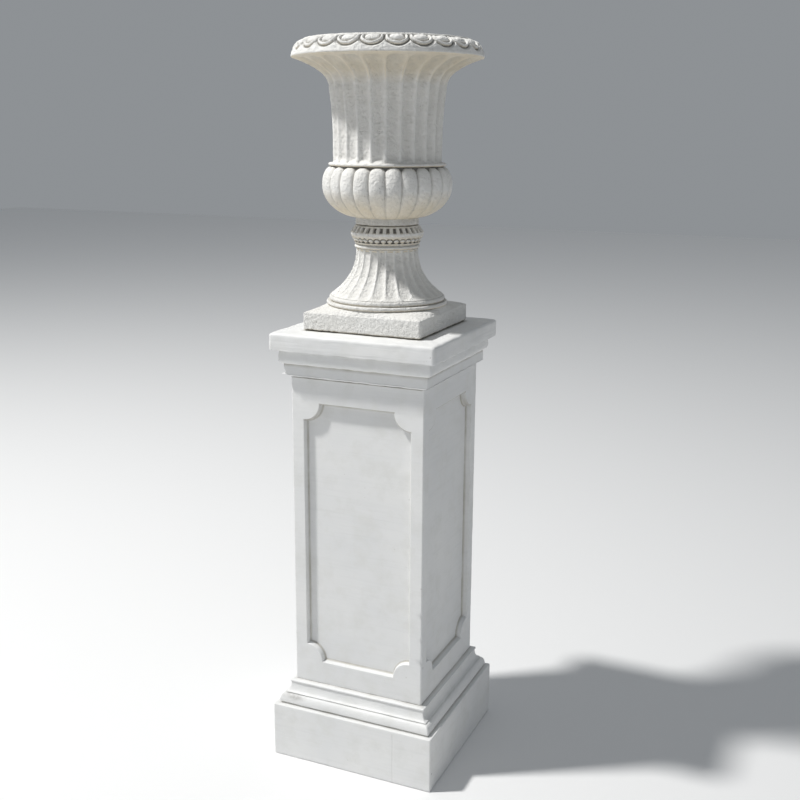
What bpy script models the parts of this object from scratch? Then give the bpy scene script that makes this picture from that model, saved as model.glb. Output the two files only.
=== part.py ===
"""Roman garden pedestal with a fluted urn standing on it, in metres, +Z up, standing on z = 0.

Four pieces: the pedestal's base, shaft and cap, and the urn, which is one casting and only rests on
the cap. Heights are those of each member and add up from the floor; half widths and radii are from
the middle line, and a projection is how far a moulding stands out beyond the shaft's face.
"""
import math

import bmesh
import bpy

# Gap between two pieces that touch, and the small worn edge that mouldings end in
CLEARANCE = 0.0003
EDGE = 0.0015

# Shaft: square box with one sunk panel in each side
SHAFT_HALF = 0.1571
SHAFT_HEIGHT = 0.7170
SHAFT_ARRIS = 0.0030
WALL_THICKNESS = 0.0500
INSIDE_CORNER = 0.0060
PANEL_SIDE_MARGIN = 0.0310
PANEL_BOTTOM_MARGIN = 0.0535
PANEL_TOP_MARGIN = 0.0560
PANEL_DEPTH = 0.0135
PANEL_DRAFT = 0.0020
NOTCH_RADIUS = 0.0385
NOTCH_STEPS = 6

# Base: square plinth, groove, convex ovolo, cove and a lip whose top falls away from the shaft
PLINTH_PROJECTION = 0.0398
PLINTH_HEIGHT = 0.1275
QUIRK_HEIGHT = 0.0035
OVOLO_PROJECTION = 0.0299
OVOLO_HEIGHT = 0.0200
COVE_PROJECTION = 0.0174
COVE_HEIGHT = 0.0240
LIP_PROJECTION = 0.0114
LIP_HEIGHT = 0.0080
LIP_FALL = 0.0030
BASE_CORNER = 0.0025

# Cap: slope up from the shaft, upright band, quarter round and slab
NECKING_HEIGHT = 0.0055
BAND_PROJECTION = 0.0119
BAND_HEIGHT = 0.0240
ROUND_PROJECTION = 0.0209
ROUND_HEIGHT = 0.0308
SLAB_PROJECTION = 0.0356
SLAB_HEIGHT = 0.0397
SLAB_ARRIS = 0.0080
CAP_CORNER = 0.0025
SLAB_CORNER = 0.0050

# Urn foot: square slab whose top rises to two ring mouldings, and the fluted stem
FOOT_SLAB_HALF = 0.1366
FOOT_SLAB_HEIGHT = 0.0395
FOOT_SLAB_ARRIS = 0.0040
FOOT_SLAB_RISE = 0.0100
LOWER_RING_SETBACK = 0.0031
LOWER_RING_HEIGHT = 0.0090
UPPER_RING_SETBACK = 0.0060
UPPER_RING_HEIGHT = 0.0107
STEM_SETBACK = 0.0043
STEM_QUIRK_HEIGHT = 0.0018
STEM_HEIGHT = 0.0990
STEM_TOP_RADIUS = 0.0682
STEM_SWEEP = 2.4
STEM_FLUTE_DEPTH = 0.0055

# Urn knot: collar, band of beads, ring, band of tongues and waist
COLLAR_QUIRK_HEIGHT = 0.0028
COLLAR_PROJECTION = 0.0033
COLLAR_HEIGHT = 0.0058
BEAD_BAND_HEIGHT = 0.0210
BEAD_GAP_DEPTH = 0.0035
KNOT_PROJECTION = 0.0118
KNOT_HEIGHT = 0.0062
TONGUE_BAND_HEIGHT = 0.0150
TONGUE_BAND_TAPER = 0.0108
TONGUE_DEPTH = 0.0050
WAIST_STEP_HEIGHT = 0.0020
WAIST_PROJECTION = 0.0005
WAIST_HEIGHT = 0.0122

# Urn belly: lobes from the waist to the girdle
BELLY_QUIRK_HEIGHT = 0.0030
BELLY_START_SWELL = 0.0045
BELLY_LOWER_HEIGHT = 0.0664
BELLY_UPPER_HEIGHT = 0.0406
BELLY_RADIUS = 0.1407
BELLY_FULLNESS = 0.85
LOBE_DEPTH = 0.0085
GIRDLE_PROJECTION = 0.0098
GIRDLE_UNDERCUT = 0.0030
GIRDLE_HEIGHT = 0.0080

# Urn neck, flare and rim
NECK_QUIRK_HEIGHT = 0.0010
NECK_BOTTOM_RADIUS = 0.1168
NECK_SPREAD = 0.0078
NECK_HEIGHT = 0.1480
NECK_SWEEP = 3.1
NECK_FLUTE_DEPTH = 0.0065
FLARE_HEIGHT = 0.0630
FLARE_SWEEP = 2.5
RIM_RADIUS = 0.2030
RIM_OVERHANG = 0.0045
RIM_FILLET_HEIGHT = 0.0130
EGG_BAND_HEIGHT = 0.0255
EGG_BAND_SETBACK = 0.0265
EGG_DEPTH = 0.0085
RIM_TOP_WIDTH = 0.0095

# Urn inside
BOWL_WALL = 0.0240
BOWL_FLOOR_THICKNESS = 0.0290
BOWL_FLOOR_RADIUS = 0.0700

# Repeats round the urn and the facets that draw them
LOBES = 24
TONGUES = 32
COLUMNS = 96
PLAIN_COLUMNS = 48
INSIDE_COLUMNS = 24

# Pedestal heights that follow
INSIDE_HALF = SHAFT_HALF - WALL_THICKNESS
OVOLO_BOTTOM = PLINTH_HEIGHT + QUIRK_HEIGHT
COVE_BOTTOM = OVOLO_BOTTOM + OVOLO_HEIGHT
LIP_BOTTOM = COVE_BOTTOM + COVE_HEIGHT
BASE_HEIGHT = LIP_BOTTOM + LIP_HEIGHT
SHAFT_TOP = BASE_HEIGHT + SHAFT_HEIGHT
CAP_HEIGHT = NECKING_HEIGHT + BAND_HEIGHT + ROUND_HEIGHT + SLAB_HEIGHT
PEDESTAL_HEIGHT = SHAFT_TOP + CAP_HEIGHT

# Urn heights that follow, above the cap
LOWER_RING_BOTTOM = FOOT_SLAB_HEIGHT + FOOT_SLAB_RISE
LOWER_RING_TOP = LOWER_RING_BOTTOM + LOWER_RING_HEIGHT
UPPER_RING_TOP = LOWER_RING_TOP + UPPER_RING_HEIGHT
STEM_BOTTOM = UPPER_RING_TOP + STEM_QUIRK_HEIGHT
STEM_TOP = STEM_BOTTOM + STEM_HEIGHT
COLLAR_BOTTOM = STEM_TOP + COLLAR_QUIRK_HEIGHT
COLLAR_TOP = COLLAR_BOTTOM + COLLAR_HEIGHT
KNOT_BOTTOM = COLLAR_TOP + BEAD_BAND_HEIGHT
KNOT_TOP = KNOT_BOTTOM + KNOT_HEIGHT
TONGUE_TOP = KNOT_TOP + TONGUE_BAND_HEIGHT
WAIST_BOTTOM = TONGUE_TOP + WAIST_STEP_HEIGHT
WAIST_TOP = WAIST_BOTTOM + WAIST_HEIGHT
BELLY_BOTTOM = WAIST_TOP + BELLY_QUIRK_HEIGHT
BELLY_MIDDLE = BELLY_BOTTOM + BELLY_LOWER_HEIGHT
BELLY_TOP = BELLY_MIDDLE + BELLY_UPPER_HEIGHT
GIRDLE_TOP = BELLY_TOP + GIRDLE_HEIGHT
NECK_BOTTOM = GIRDLE_TOP + NECK_QUIRK_HEIGHT
NECK_TOP = NECK_BOTTOM + NECK_HEIGHT
RIM_BOTTOM = NECK_TOP + FLARE_HEIGHT
EGG_BOTTOM = RIM_BOTTOM + RIM_FILLET_HEIGHT
RIM_TOP = EGG_BOTTOM + EGG_BAND_HEIGHT

# Urn radii that follow
LOWER_RING_RADIUS = FOOT_SLAB_HALF - LOWER_RING_SETBACK
UPPER_RING_RADIUS = LOWER_RING_RADIUS - UPPER_RING_SETBACK
STEM_BOTTOM_RADIUS = UPPER_RING_RADIUS - STEM_SETBACK
COLLAR_RADIUS = STEM_TOP_RADIUS + COLLAR_PROJECTION
KNOT_RADIUS = STEM_TOP_RADIUS + KNOT_PROJECTION
WAIST_RADIUS = STEM_TOP_RADIUS + WAIST_PROJECTION
GIRDLE_RADIUS = NECK_BOTTOM_RADIUS + GIRDLE_PROJECTION
RIM_TOP_OUTSIDE = RIM_RADIUS - EGG_BAND_SETBACK
RIM_TOP_INSIDE = RIM_TOP_OUTSIDE - RIM_TOP_WIDTH


def make_material(name, colour, roughness):
    """A plain surface for one kind of piece."""
    material = bpy.data.materials.new(name)
    material.use_nodes = True
    shader = material.node_tree.nodes["Principled BSDF"]
    shader.inputs["Base Color"].default_value = (*colour, 1.0)
    shader.inputs["Roughness"].default_value = roughness
    shader.inputs["Metallic"].default_value = 0.0
    return material


def finish(name, mesh_data, material, height, parent):
    """Turn a bmesh into a named object whose own origin stands at the given height."""
    bmesh.ops.recalc_face_normals(mesh_data, faces=mesh_data.faces)
    mesh = bpy.data.meshes.new(name)
    mesh_data.to_mesh(mesh)
    mesh_data.free()
    mesh.materials.append(material)
    thing = bpy.data.objects.new(name, mesh)
    bpy.context.scene.collection.objects.link(thing)
    thing.location = (0.0, 0.0, height)
    thing.parent = parent
    return thing


def square_ring(half, corner, height):
    """Eight points of a square with its corners cut, counter-clockwise from the +X side."""
    flat = half - corner
    return [
        (half, -flat, height), (half, flat, height), (flat, half, height), (-flat, half, height),
        (-half, flat, height), (-half, -flat, height), (-flat, -half, height), (flat, -half, height),
    ]


def quarter_curve(start, end, steps, upright_start):
    """Quarter of an ellipse between two (half width, height) points, both ends kept.

    It leaves the start upright and meets the end level, or the other way round.
    """
    points = []
    for step in range(steps + 1):
        turn = 0.5 * math.pi * step / steps
        if upright_start:
            across, up = 1.0 - math.cos(turn), math.sin(turn)
        else:
            across, up = math.sin(turn), 1.0 - math.cos(turn)
        points.append((start[0] + (end[0] - start[0]) * across, start[1] + (end[1] - start[1]) * up))
    return points


def add_rings(mesh_data, rings):
    """Vertices of a list of rings, each a list of (x, y, z)."""
    return [[mesh_data.verts.new(point) for point in ring] for ring in rings]


def bridge(mesh_data, lower, upper):
    """Faces between two closed rings; one may have a whole number of times more points."""
    if len(lower) == len(upper):
        count = len(lower)
        for index in range(count):
            follow = (index + 1) % count
            mesh_data.faces.new((lower[index], lower[follow], upper[follow], upper[index]))
        return
    fine, coarse = (lower, upper) if len(lower) > len(upper) else (upper, lower)
    share = len(fine) // len(coarse)
    half = share // 2
    for index, corner in enumerate(coarse):
        follow = coarse[(index + 1) % len(coarse)]
        first = index * share
        for step in range(share):
            near = corner if step < half else follow
            mesh_data.faces.new((near, fine[(first + step) % len(fine)],
                                 fine[(first + step + 1) % len(fine)]))
        mesh_data.faces.new((corner, fine[(first + half) % len(fine)], follow))


def base_profile():
    """Outside of the base from the floor to its top, as (half width, height)."""
    plinth = SHAFT_HALF + PLINTH_PROJECTION
    ovolo = SHAFT_HALF + OVOLO_PROJECTION
    cove = SHAFT_HALF + COVE_PROJECTION
    lip = SHAFT_HALF + LIP_PROJECTION
    groove = ovolo - 2.0 * EDGE
    lip_face = LIP_HEIGHT - LIP_FALL
    outline = [
        (plinth - EDGE, 0.0),
        (plinth, EDGE),
        (plinth, PLINTH_HEIGHT - 2.0 * EDGE),
        (plinth - EDGE, PLINTH_HEIGHT),
        (groove, PLINTH_HEIGHT),
        (groove, PLINTH_HEIGHT + 0.5 * QUIRK_HEIGHT),
        (ovolo, OVOLO_BOTTOM),
    ]
    outline += quarter_curve((ovolo, OVOLO_BOTTOM + 0.12 * OVOLO_HEIGHT),
                             (cove + 0.5 * EDGE, COVE_BOTTOM), 5, True)
    outline += quarter_curve((cove, COVE_BOTTOM + 0.05 * COVE_HEIGHT),
                             (lip - 2.0 * EDGE, LIP_BOTTOM), 4, False)
    outline += [
        (lip - 0.5 * EDGE, LIP_BOTTOM + 0.2 * lip_face),
        (lip, LIP_BOTTOM + 0.6 * lip_face),
        (lip - EDGE, LIP_BOTTOM + lip_face),
        (SHAFT_HALF + EDGE, BASE_HEIGHT),
    ]
    return outline


def cap_profile():
    """Outside of the cap from its bed on the shaft to its top, as (half width, height, corner cut)."""
    band = SHAFT_HALF + BAND_PROJECTION
    swell = SHAFT_HALF + ROUND_PROJECTION
    slab = SHAFT_HALF + SLAB_PROJECTION
    band_top = NECKING_HEIGHT + BAND_HEIGHT
    slab_bottom = band_top + ROUND_HEIGHT
    outline = [
        (SHAFT_HALF + EDGE, 0.0, CAP_CORNER),
        (band - EDGE, NECKING_HEIGHT - 0.5 * EDGE, CAP_CORNER),
        (band, NECKING_HEIGHT + 0.5 * EDGE, CAP_CORNER),
        (band, band_top, CAP_CORNER),
    ]
    curve = quarter_curve((band + 0.3 * EDGE, band_top + 0.2 * EDGE),
                          (swell, band_top + 0.42 * ROUND_HEIGHT), 4, False)
    outline += [(half, height, CAP_CORNER) for half, height in curve]
    outline += [
        (swell - 0.3 * EDGE, band_top + 0.68 * ROUND_HEIGHT, CAP_CORNER),
        (swell - EDGE, slab_bottom - 0.13 * ROUND_HEIGHT, CAP_CORNER),
        (swell - EDGE, slab_bottom, CAP_CORNER),
        (slab - EDGE, slab_bottom, SLAB_CORNER),
        (slab, slab_bottom + EDGE, SLAB_CORNER),
    ]
    crown = quarter_curve((slab, CAP_HEIGHT - SLAB_ARRIS), (slab - SLAB_ARRIS, CAP_HEIGHT), 3, True)
    outline += [(half, height, SLAB_CORNER) for half, height in crown]
    return outline


def build_base(material, parent):
    """Square ring with the moulded outside, open through the middle."""
    mesh_data = bmesh.new()
    rings = [square_ring(half, BASE_CORNER, height) for half, height in base_profile()]
    rings.append(square_ring(INSIDE_HALF, INSIDE_CORNER, BASE_HEIGHT))
    rings.append(square_ring(INSIDE_HALF, INSIDE_CORNER, 0.0))
    rows = add_rings(mesh_data, rings)
    for index, row in enumerate(rows):
        bridge(mesh_data, row, rows[(index + 1) % len(rows)])
    return finish("pedestal_base", mesh_data, material, 0.0, parent)


def build_cap(material, parent):
    """Solid cap on the shaft, which closes the hollow of the pedestal."""
    mesh_data = bmesh.new()
    rows = add_rings(mesh_data, [square_ring(half, cut, height) for half, height, cut in cap_profile()])
    for lower, upper in zip(rows, rows[1:]):
        bridge(mesh_data, lower, upper)
    mesh_data.faces.new(rows[0])
    mesh_data.faces.new(rows[-1])
    return finish("pedestal_cap", mesh_data, material, SHAFT_TOP, parent)


def panel_outline(inset, height):
    """Sunk panel's outline as (across, up) in four lists, one for each notched corner."""
    half = SHAFT_HALF - PANEL_SIDE_MARGIN - inset
    low = PANEL_BOTTOM_MARGIN + inset
    high = height - PANEL_TOP_MARGIN - inset
    corners = []
    for side, end in ((1, -1), (1, 1), (-1, 1), (-1, -1)):
        level = high if end > 0 else low
        points = []
        for step in range(NOTCH_STEPS + 1):
            turn = 0.5 * math.pi * step / NOTCH_STEPS
            points.append((side * (half - NOTCH_RADIUS * math.cos(turn)),
                           level - end * NOTCH_RADIUS * math.sin(turn)))
        if side * end > 0:
            points.reverse()
        corners.append(points)
    return corners


def side_point(side, along, up, depth):
    """Point on one side of the shaft, given across it, up it and how deep it is sunk."""
    turn = 0.5 * math.pi * side
    reach = SHAFT_HALF - depth
    return (reach * math.cos(turn) - along * math.sin(turn),
            reach * math.sin(turn) + along * math.cos(turn), up)


def build_shaft(material, parent):
    """Square box open at both ends with a sunk panel in each side."""
    mesh_data = bmesh.new()
    height = SHAFT_HEIGHT - 2.0 * CLEARANCE
    outer_low, outer_high, inner_low, inner_high = add_rings(mesh_data, [
        square_ring(SHAFT_HALF, SHAFT_ARRIS, 0.0),
        square_ring(SHAFT_HALF, SHAFT_ARRIS, height),
        square_ring(INSIDE_HALF, INSIDE_CORNER, 0.0),
        square_ring(INSIDE_HALF, INSIDE_CORNER, height),
    ])
    bridge(mesh_data, inner_low, outer_low)
    bridge(mesh_data, outer_high, inner_high)
    bridge(mesh_data, inner_low, inner_high)
    for side in range(4):
        first, second = 2 * side, 2 * side + 1
        third = (second + 1) % 8
        mesh_data.faces.new((outer_low[second], outer_low[third], outer_high[third], outer_high[second]))
        edge = [[mesh_data.verts.new(side_point(side, along, up, 0.0)) for along, up in corner]
                for corner in panel_outline(0.0, height)]
        sunk = [mesh_data.verts.new(side_point(side, along, up, PANEL_DEPTH))
                for corner in panel_outline(PANEL_DRAFT, height) for along, up in corner]
        frame = [outer_low[second], outer_high[second], outer_high[first], outer_low[first]]
        for index, corner in enumerate(frame):
            points = edge[index]
            follow = (index + 1) % 4
            for before, after in zip(points, points[1:]):
                mesh_data.faces.new((corner, before, after))
            mesh_data.faces.new((corner, points[-1], edge[follow][0], frame[follow]))
        bridge(mesh_data, [vert for points in edge for vert in points], sunk)
        mesh_data.faces.new(sunk)
    bmesh.ops.triangulate(mesh_data, faces=[face for face in mesh_data.faces if len(face.verts) > 4])
    return finish("pedestal_shaft", mesh_data, material, BASE_HEIGHT + CLEARANCE, parent)


def round_ring(columns, radius, height, carve=None, depth=0.0):
    """One ring of the urn; carve gives 0 at the outermost line and 1 at the deepest."""
    ring = []
    for index in range(columns):
        turn = 2.0 * math.pi * index / columns
        reach = radius - (depth * carve(turn) if carve else 0.0)
        ring.append((reach * math.cos(turn), reach * math.sin(turn), height))
    return ring


def across_lobe(turn):
    """Place across one repeat: 0 on its middle line, 1 on the line between two repeats."""
    part = turn * LOBES / (2.0 * math.pi)
    return abs(2.0 * (part - round(part)))


def flute(turn):
    """Hollow flute: nothing taken away on the arris, most in the middle."""
    return math.sqrt(max(0.0, 1.0 - across_lobe(turn) ** 2))


def lobe(turn):
    """Raised lobe: nothing taken away on the crown, most in the groove."""
    return 1.0 - flute(turn)


def egg(turn):
    """Rounded egg, cut back steeply to the strip between two eggs."""
    return across_lobe(turn) ** 1.3


def slot(turn):
    """Narrow slot between two beads."""
    part = turn * TONGUES / (2.0 * math.pi)
    return 1.0 if abs(part - round(part)) < 0.1 else 0.0


def tongue_slot(turn):
    """Narrow slot between two tongues, which stand one column further round than the beads."""
    return slot(turn - 2.0 * math.pi / COLUMNS)


def stem_radius(part):
    """Outermost line of the fluted stem, sweeping out towards the foot."""
    return STEM_TOP_RADIUS + (STEM_BOTTOM_RADIUS - STEM_TOP_RADIUS) * (1.0 - part) ** STEM_SWEEP


def neck_radius(part):
    """Outermost line of the fluted neck, nearly upright and spreading near its top."""
    return NECK_BOTTOM_RADIUS + NECK_SPREAD * part ** NECK_SWEEP


def flare_point(part):
    """Radius and height on the outermost line of the flare under the rim."""
    start = NECK_BOTTOM_RADIUS + NECK_SPREAD
    return (start + (RIM_RADIUS - RIM_OVERHANG - start) * part ** FLARE_SWEEP,
            NECK_TOP + FLARE_HEIGHT * part)


def foot_rings():
    """Two ring mouldings on the slab and the fluted stem above them."""
    rings = [
        round_ring(PLAIN_COLUMNS, LOWER_RING_RADIUS - 3.0 * EDGE, LOWER_RING_BOTTOM),
        round_ring(PLAIN_COLUMNS, LOWER_RING_RADIUS, LOWER_RING_BOTTOM + 0.45 * LOWER_RING_HEIGHT),
        round_ring(PLAIN_COLUMNS, LOWER_RING_RADIUS - 2.0 * EDGE, LOWER_RING_TOP - EDGE),
        round_ring(PLAIN_COLUMNS, UPPER_RING_RADIUS - 0.5 * EDGE, LOWER_RING_TOP),
        round_ring(PLAIN_COLUMNS, UPPER_RING_RADIUS, LOWER_RING_TOP + 0.40 * UPPER_RING_HEIGHT),
        round_ring(PLAIN_COLUMNS, UPPER_RING_RADIUS - 2.0 * EDGE, UPPER_RING_TOP),
        round_ring(PLAIN_COLUMNS, STEM_BOTTOM_RADIUS, STEM_BOTTOM),
    ]
    for part in (0.05, 0.22, 0.42, 0.66, 0.95):
        rings.append(round_ring(COLUMNS, stem_radius(part), STEM_BOTTOM + STEM_HEIGHT * part,
                                flute, STEM_FLUTE_DEPTH * (1.0 - 0.35 * part)))
    rings.append(round_ring(PLAIN_COLUMNS, STEM_TOP_RADIUS, STEM_TOP))
    return rings


def knot_rings():
    """Collar, beads, ring, tongues and waist between the stem and the belly."""
    bead_rise = COLLAR_TOP + EDGE
    return [
        round_ring(PLAIN_COLUMNS, COLLAR_RADIUS, COLLAR_BOTTOM),
        round_ring(PLAIN_COLUMNS, COLLAR_RADIUS, COLLAR_TOP),
        round_ring(PLAIN_COLUMNS, COLLAR_RADIUS - 2.0 * EDGE, bead_rise),
        round_ring(COLUMNS, COLLAR_RADIUS, COLLAR_TOP + 0.25 * BEAD_BAND_HEIGHT, slot, 0.6 * BEAD_GAP_DEPTH),
        round_ring(COLUMNS, KNOT_RADIUS - EDGE, COLLAR_TOP + 0.80 * BEAD_BAND_HEIGHT, slot, BEAD_GAP_DEPTH),
        round_ring(PLAIN_COLUMNS, KNOT_RADIUS, KNOT_BOTTOM),
        round_ring(PLAIN_COLUMNS, KNOT_RADIUS, KNOT_TOP),
        round_ring(COLUMNS, KNOT_RADIUS - EDGE, KNOT_TOP + EDGE, tongue_slot, TONGUE_DEPTH),
        round_ring(COLUMNS, KNOT_RADIUS - 0.64 * TONGUE_BAND_TAPER, TONGUE_TOP - 0.27 * TONGUE_BAND_HEIGHT,
                   tongue_slot, TONGUE_DEPTH),
        round_ring(PLAIN_COLUMNS, KNOT_RADIUS - TONGUE_BAND_TAPER, TONGUE_TOP),
        round_ring(PLAIN_COLUMNS, WAIST_RADIUS, WAIST_BOTTOM),
        round_ring(PLAIN_COLUMNS, WAIST_RADIUS, WAIST_TOP),
    ]


def belly_rings():
    """Lobed belly from the waist to the girdle; above its middle it turns in like a shoulder."""
    start = WAIST_RADIUS + BELLY_START_SWELL
    rings = [round_ring(COLUMNS, start, BELLY_BOTTOM, lobe, 0.15 * LOBE_DEPTH)]
    for part in (0.30, 0.55, 0.80, 1.0):
        turn = 0.5 * math.pi * part
        height = BELLY_BOTTOM + BELLY_LOWER_HEIGHT * (1.0 - math.cos(turn)) ** BELLY_FULLNESS
        radius = start + (BELLY_RADIUS - start) * math.sin(turn)
        rings.append(round_ring(COLUMNS, radius, height, lobe, LOBE_DEPTH * (0.35 + 0.65 * part)))
    shoulder = 2.27 * (BELLY_RADIUS - GIRDLE_RADIUS)
    for part, depth in ((0.62, 1.0), (0.88, 0.85)):
        radius = BELLY_RADIUS - shoulder * (1.0 - math.sqrt(1.0 - (0.80 * part) ** 2))
        rings.append(round_ring(COLUMNS, radius, BELLY_MIDDLE + BELLY_UPPER_HEIGHT * part,
                                lobe, depth * LOBE_DEPTH))
    rings += [
        round_ring(PLAIN_COLUMNS, GIRDLE_RADIUS - GIRDLE_UNDERCUT, BELLY_TOP),
        round_ring(PLAIN_COLUMNS, GIRDLE_RADIUS - 0.3 * EDGE, BELLY_TOP + 0.10 * GIRDLE_HEIGHT),
        round_ring(PLAIN_COLUMNS, GIRDLE_RADIUS, BELLY_TOP + 0.50 * GIRDLE_HEIGHT),
        round_ring(PLAIN_COLUMNS, GIRDLE_RADIUS - 2.0 * EDGE, GIRDLE_TOP),
    ]
    return rings


def neck_rings():
    """Fluted neck and its flare under the rim."""
    rings = [round_ring(PLAIN_COLUMNS, NECK_BOTTOM_RADIUS, NECK_BOTTOM)]
    for part in (0.035, 0.55, 1.0):
        rings.append(round_ring(COLUMNS, neck_radius(part), NECK_BOTTOM + NECK_HEIGHT * part,
                                flute, NECK_FLUTE_DEPTH))
    for part in (0.45, 0.68, 0.84, 0.94):
        radius, height = flare_point(part)
        rings.append(round_ring(COLUMNS, radius, height, flute, NECK_FLUTE_DEPTH * (1.0 - 0.35 * part)))
    radius, height = flare_point(0.965)
    rings.append(round_ring(PLAIN_COLUMNS, radius, height))
    return rings


def rim_rings():
    """Upright fillet and the rim's band of eggs, which curves inwards to a narrow flat top."""
    egg_top = RIM_TOP - 2.0 * EDGE
    rings = [
        round_ring(PLAIN_COLUMNS, RIM_RADIUS - EDGE, RIM_BOTTOM + 0.5 * EDGE),
        round_ring(PLAIN_COLUMNS, RIM_RADIUS, RIM_BOTTOM + 2.0 * EDGE),
        round_ring(PLAIN_COLUMNS, RIM_RADIUS, EGG_BOTTOM),
    ]
    for part, depth in ((0.08, 0.35), (0.28, 1.0), (0.46, 1.0), (0.66, 0.9), (0.90, 0.35)):
        turn = 0.5 * math.pi * part
        radius = RIM_RADIUS - EDGE - (EGG_BAND_SETBACK - 2.0 * EDGE) * (1.0 - math.cos(turn))
        height = EGG_BOTTOM + (egg_top - EGG_BOTTOM) * math.sin(turn)
        rings.append(round_ring(COLUMNS, radius, height, egg, depth * EGG_DEPTH))
    rings += [
        round_ring(PLAIN_COLUMNS, RIM_TOP_OUTSIDE, RIM_TOP - EDGE),
        round_ring(PLAIN_COLUMNS, RIM_TOP_OUTSIDE - EDGE, RIM_TOP),
        round_ring(INSIDE_COLUMNS, RIM_TOP_INSIDE, RIM_TOP),
    ]
    return rings


def bowl_point(part):
    """Inside of the bowl one wall away from the flare's outermost line, square to it."""
    radius, height = flare_point(part)
    after_radius, after_height = flare_point(part + 0.001)
    across, up = after_radius - radius, after_height - height
    length = math.hypot(across, up)
    return radius - BOWL_WALL * up / length, height + BOWL_WALL * across / length


def bowl_rings():
    """Inside of the bowl from the rim down to its floor, one wall away from the outside."""
    floor = WAIST_TOP + BOWL_FLOOR_THICKNESS
    neck = NECK_BOTTOM_RADIUS - BOWL_WALL
    belly = BELLY_RADIUS - BOWL_WALL
    stations = [(RIM_TOP_INSIDE - EDGE, RIM_TOP - EDGE)]
    stations += [bowl_point(part) for part in (0.85, 0.70, 0.50, 0.30, 0.10)]
    stations += [
        (neck_radius(0.5) - BOWL_WALL, NECK_BOTTOM + 0.5 * NECK_HEIGHT),
        (neck, NECK_BOTTOM + 0.1 * NECK_HEIGHT),
        (neck + EDGE, GIRDLE_TOP - 0.4 * GIRDLE_HEIGHT),
        (neck + 0.64 * (belly - neck), BELLY_MIDDLE + 0.65 * BELLY_UPPER_HEIGHT),
    ]
    lower = quarter_curve((BOWL_FLOOR_RADIUS, floor), (belly, BELLY_MIDDLE), 3, False)
    stations += reversed(lower)
    return [round_ring(INSIDE_COLUMNS, radius, height) for radius, height in stations]


def build_urn(material, parent):
    """The urn, one casting from its square slab to its rim, hollow inside the bowl."""
    mesh_data = bmesh.new()
    arris = FOOT_SLAB_ARRIS
    slab = add_rings(mesh_data, [
        [(half, half, height), (-half, half, height), (-half, -half, height), (half, -half, height)]
        for half, height in (
            (FOOT_SLAB_HALF - arris, 0.0),
            (FOOT_SLAB_HALF, arris),
            (FOOT_SLAB_HALF, FOOT_SLAB_HEIGHT - arris),
            (FOOT_SLAB_HALF - 0.5 * arris, FOOT_SLAB_HEIGHT),
        )
    ])
    for lower, upper in zip(slab, slab[1:]):
        bridge(mesh_data, lower, upper)
    mesh_data.faces.new(slab[0])
    rings = foot_rings() + knot_rings() + belly_rings() + neck_rings() + rim_rings() + bowl_rings()
    rows = add_rings(mesh_data, rings)
    for lower, upper in zip(rows, rows[1:]):
        bridge(mesh_data, lower, upper)
    mesh_data.faces.new(rows[-1])
    corners, circle = slab[-1], rows[0]
    quarter = len(circle) // 4
    for side, corner in enumerate(corners):
        start = side * quarter
        for step in range(quarter):
            mesh_data.faces.new((corner, circle[start + step], circle[(start + step + 1) % len(circle)]))
        mesh_data.faces.new((corner, circle[(start + quarter) % len(circle)], corners[(side + 1) % 4]))
    urn = finish("garden_urn", mesh_data, material, PEDESTAL_HEIGHT + CLEARANCE, parent)
    urn.data.shade_smooth()
    urn.data.set_sharp_from_angle(angle=math.radians(40.0))
    return urn


def main():
    for thing in list(bpy.data.objects):
        bpy.data.objects.remove(thing, do_unlink=True)
    stand = bpy.data.objects.new("roman_column", None)
    bpy.context.scene.collection.objects.link(stand)
    paint = make_material("painted_pedestal", (0.80, 0.80, 0.78), 0.55)
    stone = make_material("cast_stone", (0.78, 0.76, 0.71), 0.85)
    build_base(paint, stand)
    build_shaft(paint, stand)
    build_cap(paint, stand)
    build_urn(stone, stand)


main()
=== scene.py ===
"""Looks of the garden pedestal and its urn: fine shapes, finishes, soft studio light and the camera."""

import math

import bmesh
import bpy
import numpy as np
from mathutils import Matrix, Vector
from mathutils.geometry import delaunay_2d_cdt


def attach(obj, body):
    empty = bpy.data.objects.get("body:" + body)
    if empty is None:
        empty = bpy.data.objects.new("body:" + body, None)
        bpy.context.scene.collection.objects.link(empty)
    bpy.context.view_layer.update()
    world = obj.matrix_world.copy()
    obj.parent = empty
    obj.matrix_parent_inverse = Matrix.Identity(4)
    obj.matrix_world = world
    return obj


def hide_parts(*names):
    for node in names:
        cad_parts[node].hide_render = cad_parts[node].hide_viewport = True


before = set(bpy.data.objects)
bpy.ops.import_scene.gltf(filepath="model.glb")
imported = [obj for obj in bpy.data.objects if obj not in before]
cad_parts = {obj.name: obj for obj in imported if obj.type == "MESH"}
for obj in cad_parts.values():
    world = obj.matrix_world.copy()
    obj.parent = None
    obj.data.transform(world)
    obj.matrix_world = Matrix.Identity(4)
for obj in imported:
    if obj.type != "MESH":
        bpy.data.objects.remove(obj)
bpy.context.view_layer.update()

# Pedestal sizes in metres: half widths from the middle line, heights from the ground,
# and ends of curved mouldings as (half width, height)
PLINTH_HALF = 0.1969
PLINTH_TOP = 0.1275
QUIRK_HALF, QUIRK_TOP = 0.1841, 0.1300
OVOLO_LOW, OVOLO_HIGH = (0.1870, 0.1325), (0.1752, 0.1513)
COVE_LOW, COVE_HIGH = (0.1752, 0.1542), (0.1664, 0.1746)
BASE_LIP_HALF, BASE_LIP_TOP = 0.1684, 0.1798
BASE_TOP = 0.1830
SHAFT_HALF = 0.1571
SHAFT_LOW = 0.1833
SHAFT_HIGH = 0.8997
SHAFT_ARRIS = 0.0032
ARRIS_START = SHAFT_HALF - SHAFT_ARRIS
FRAME_HALF = ARRIS_START - 0.0015
INSIDE_HALF = 0.1071
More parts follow.
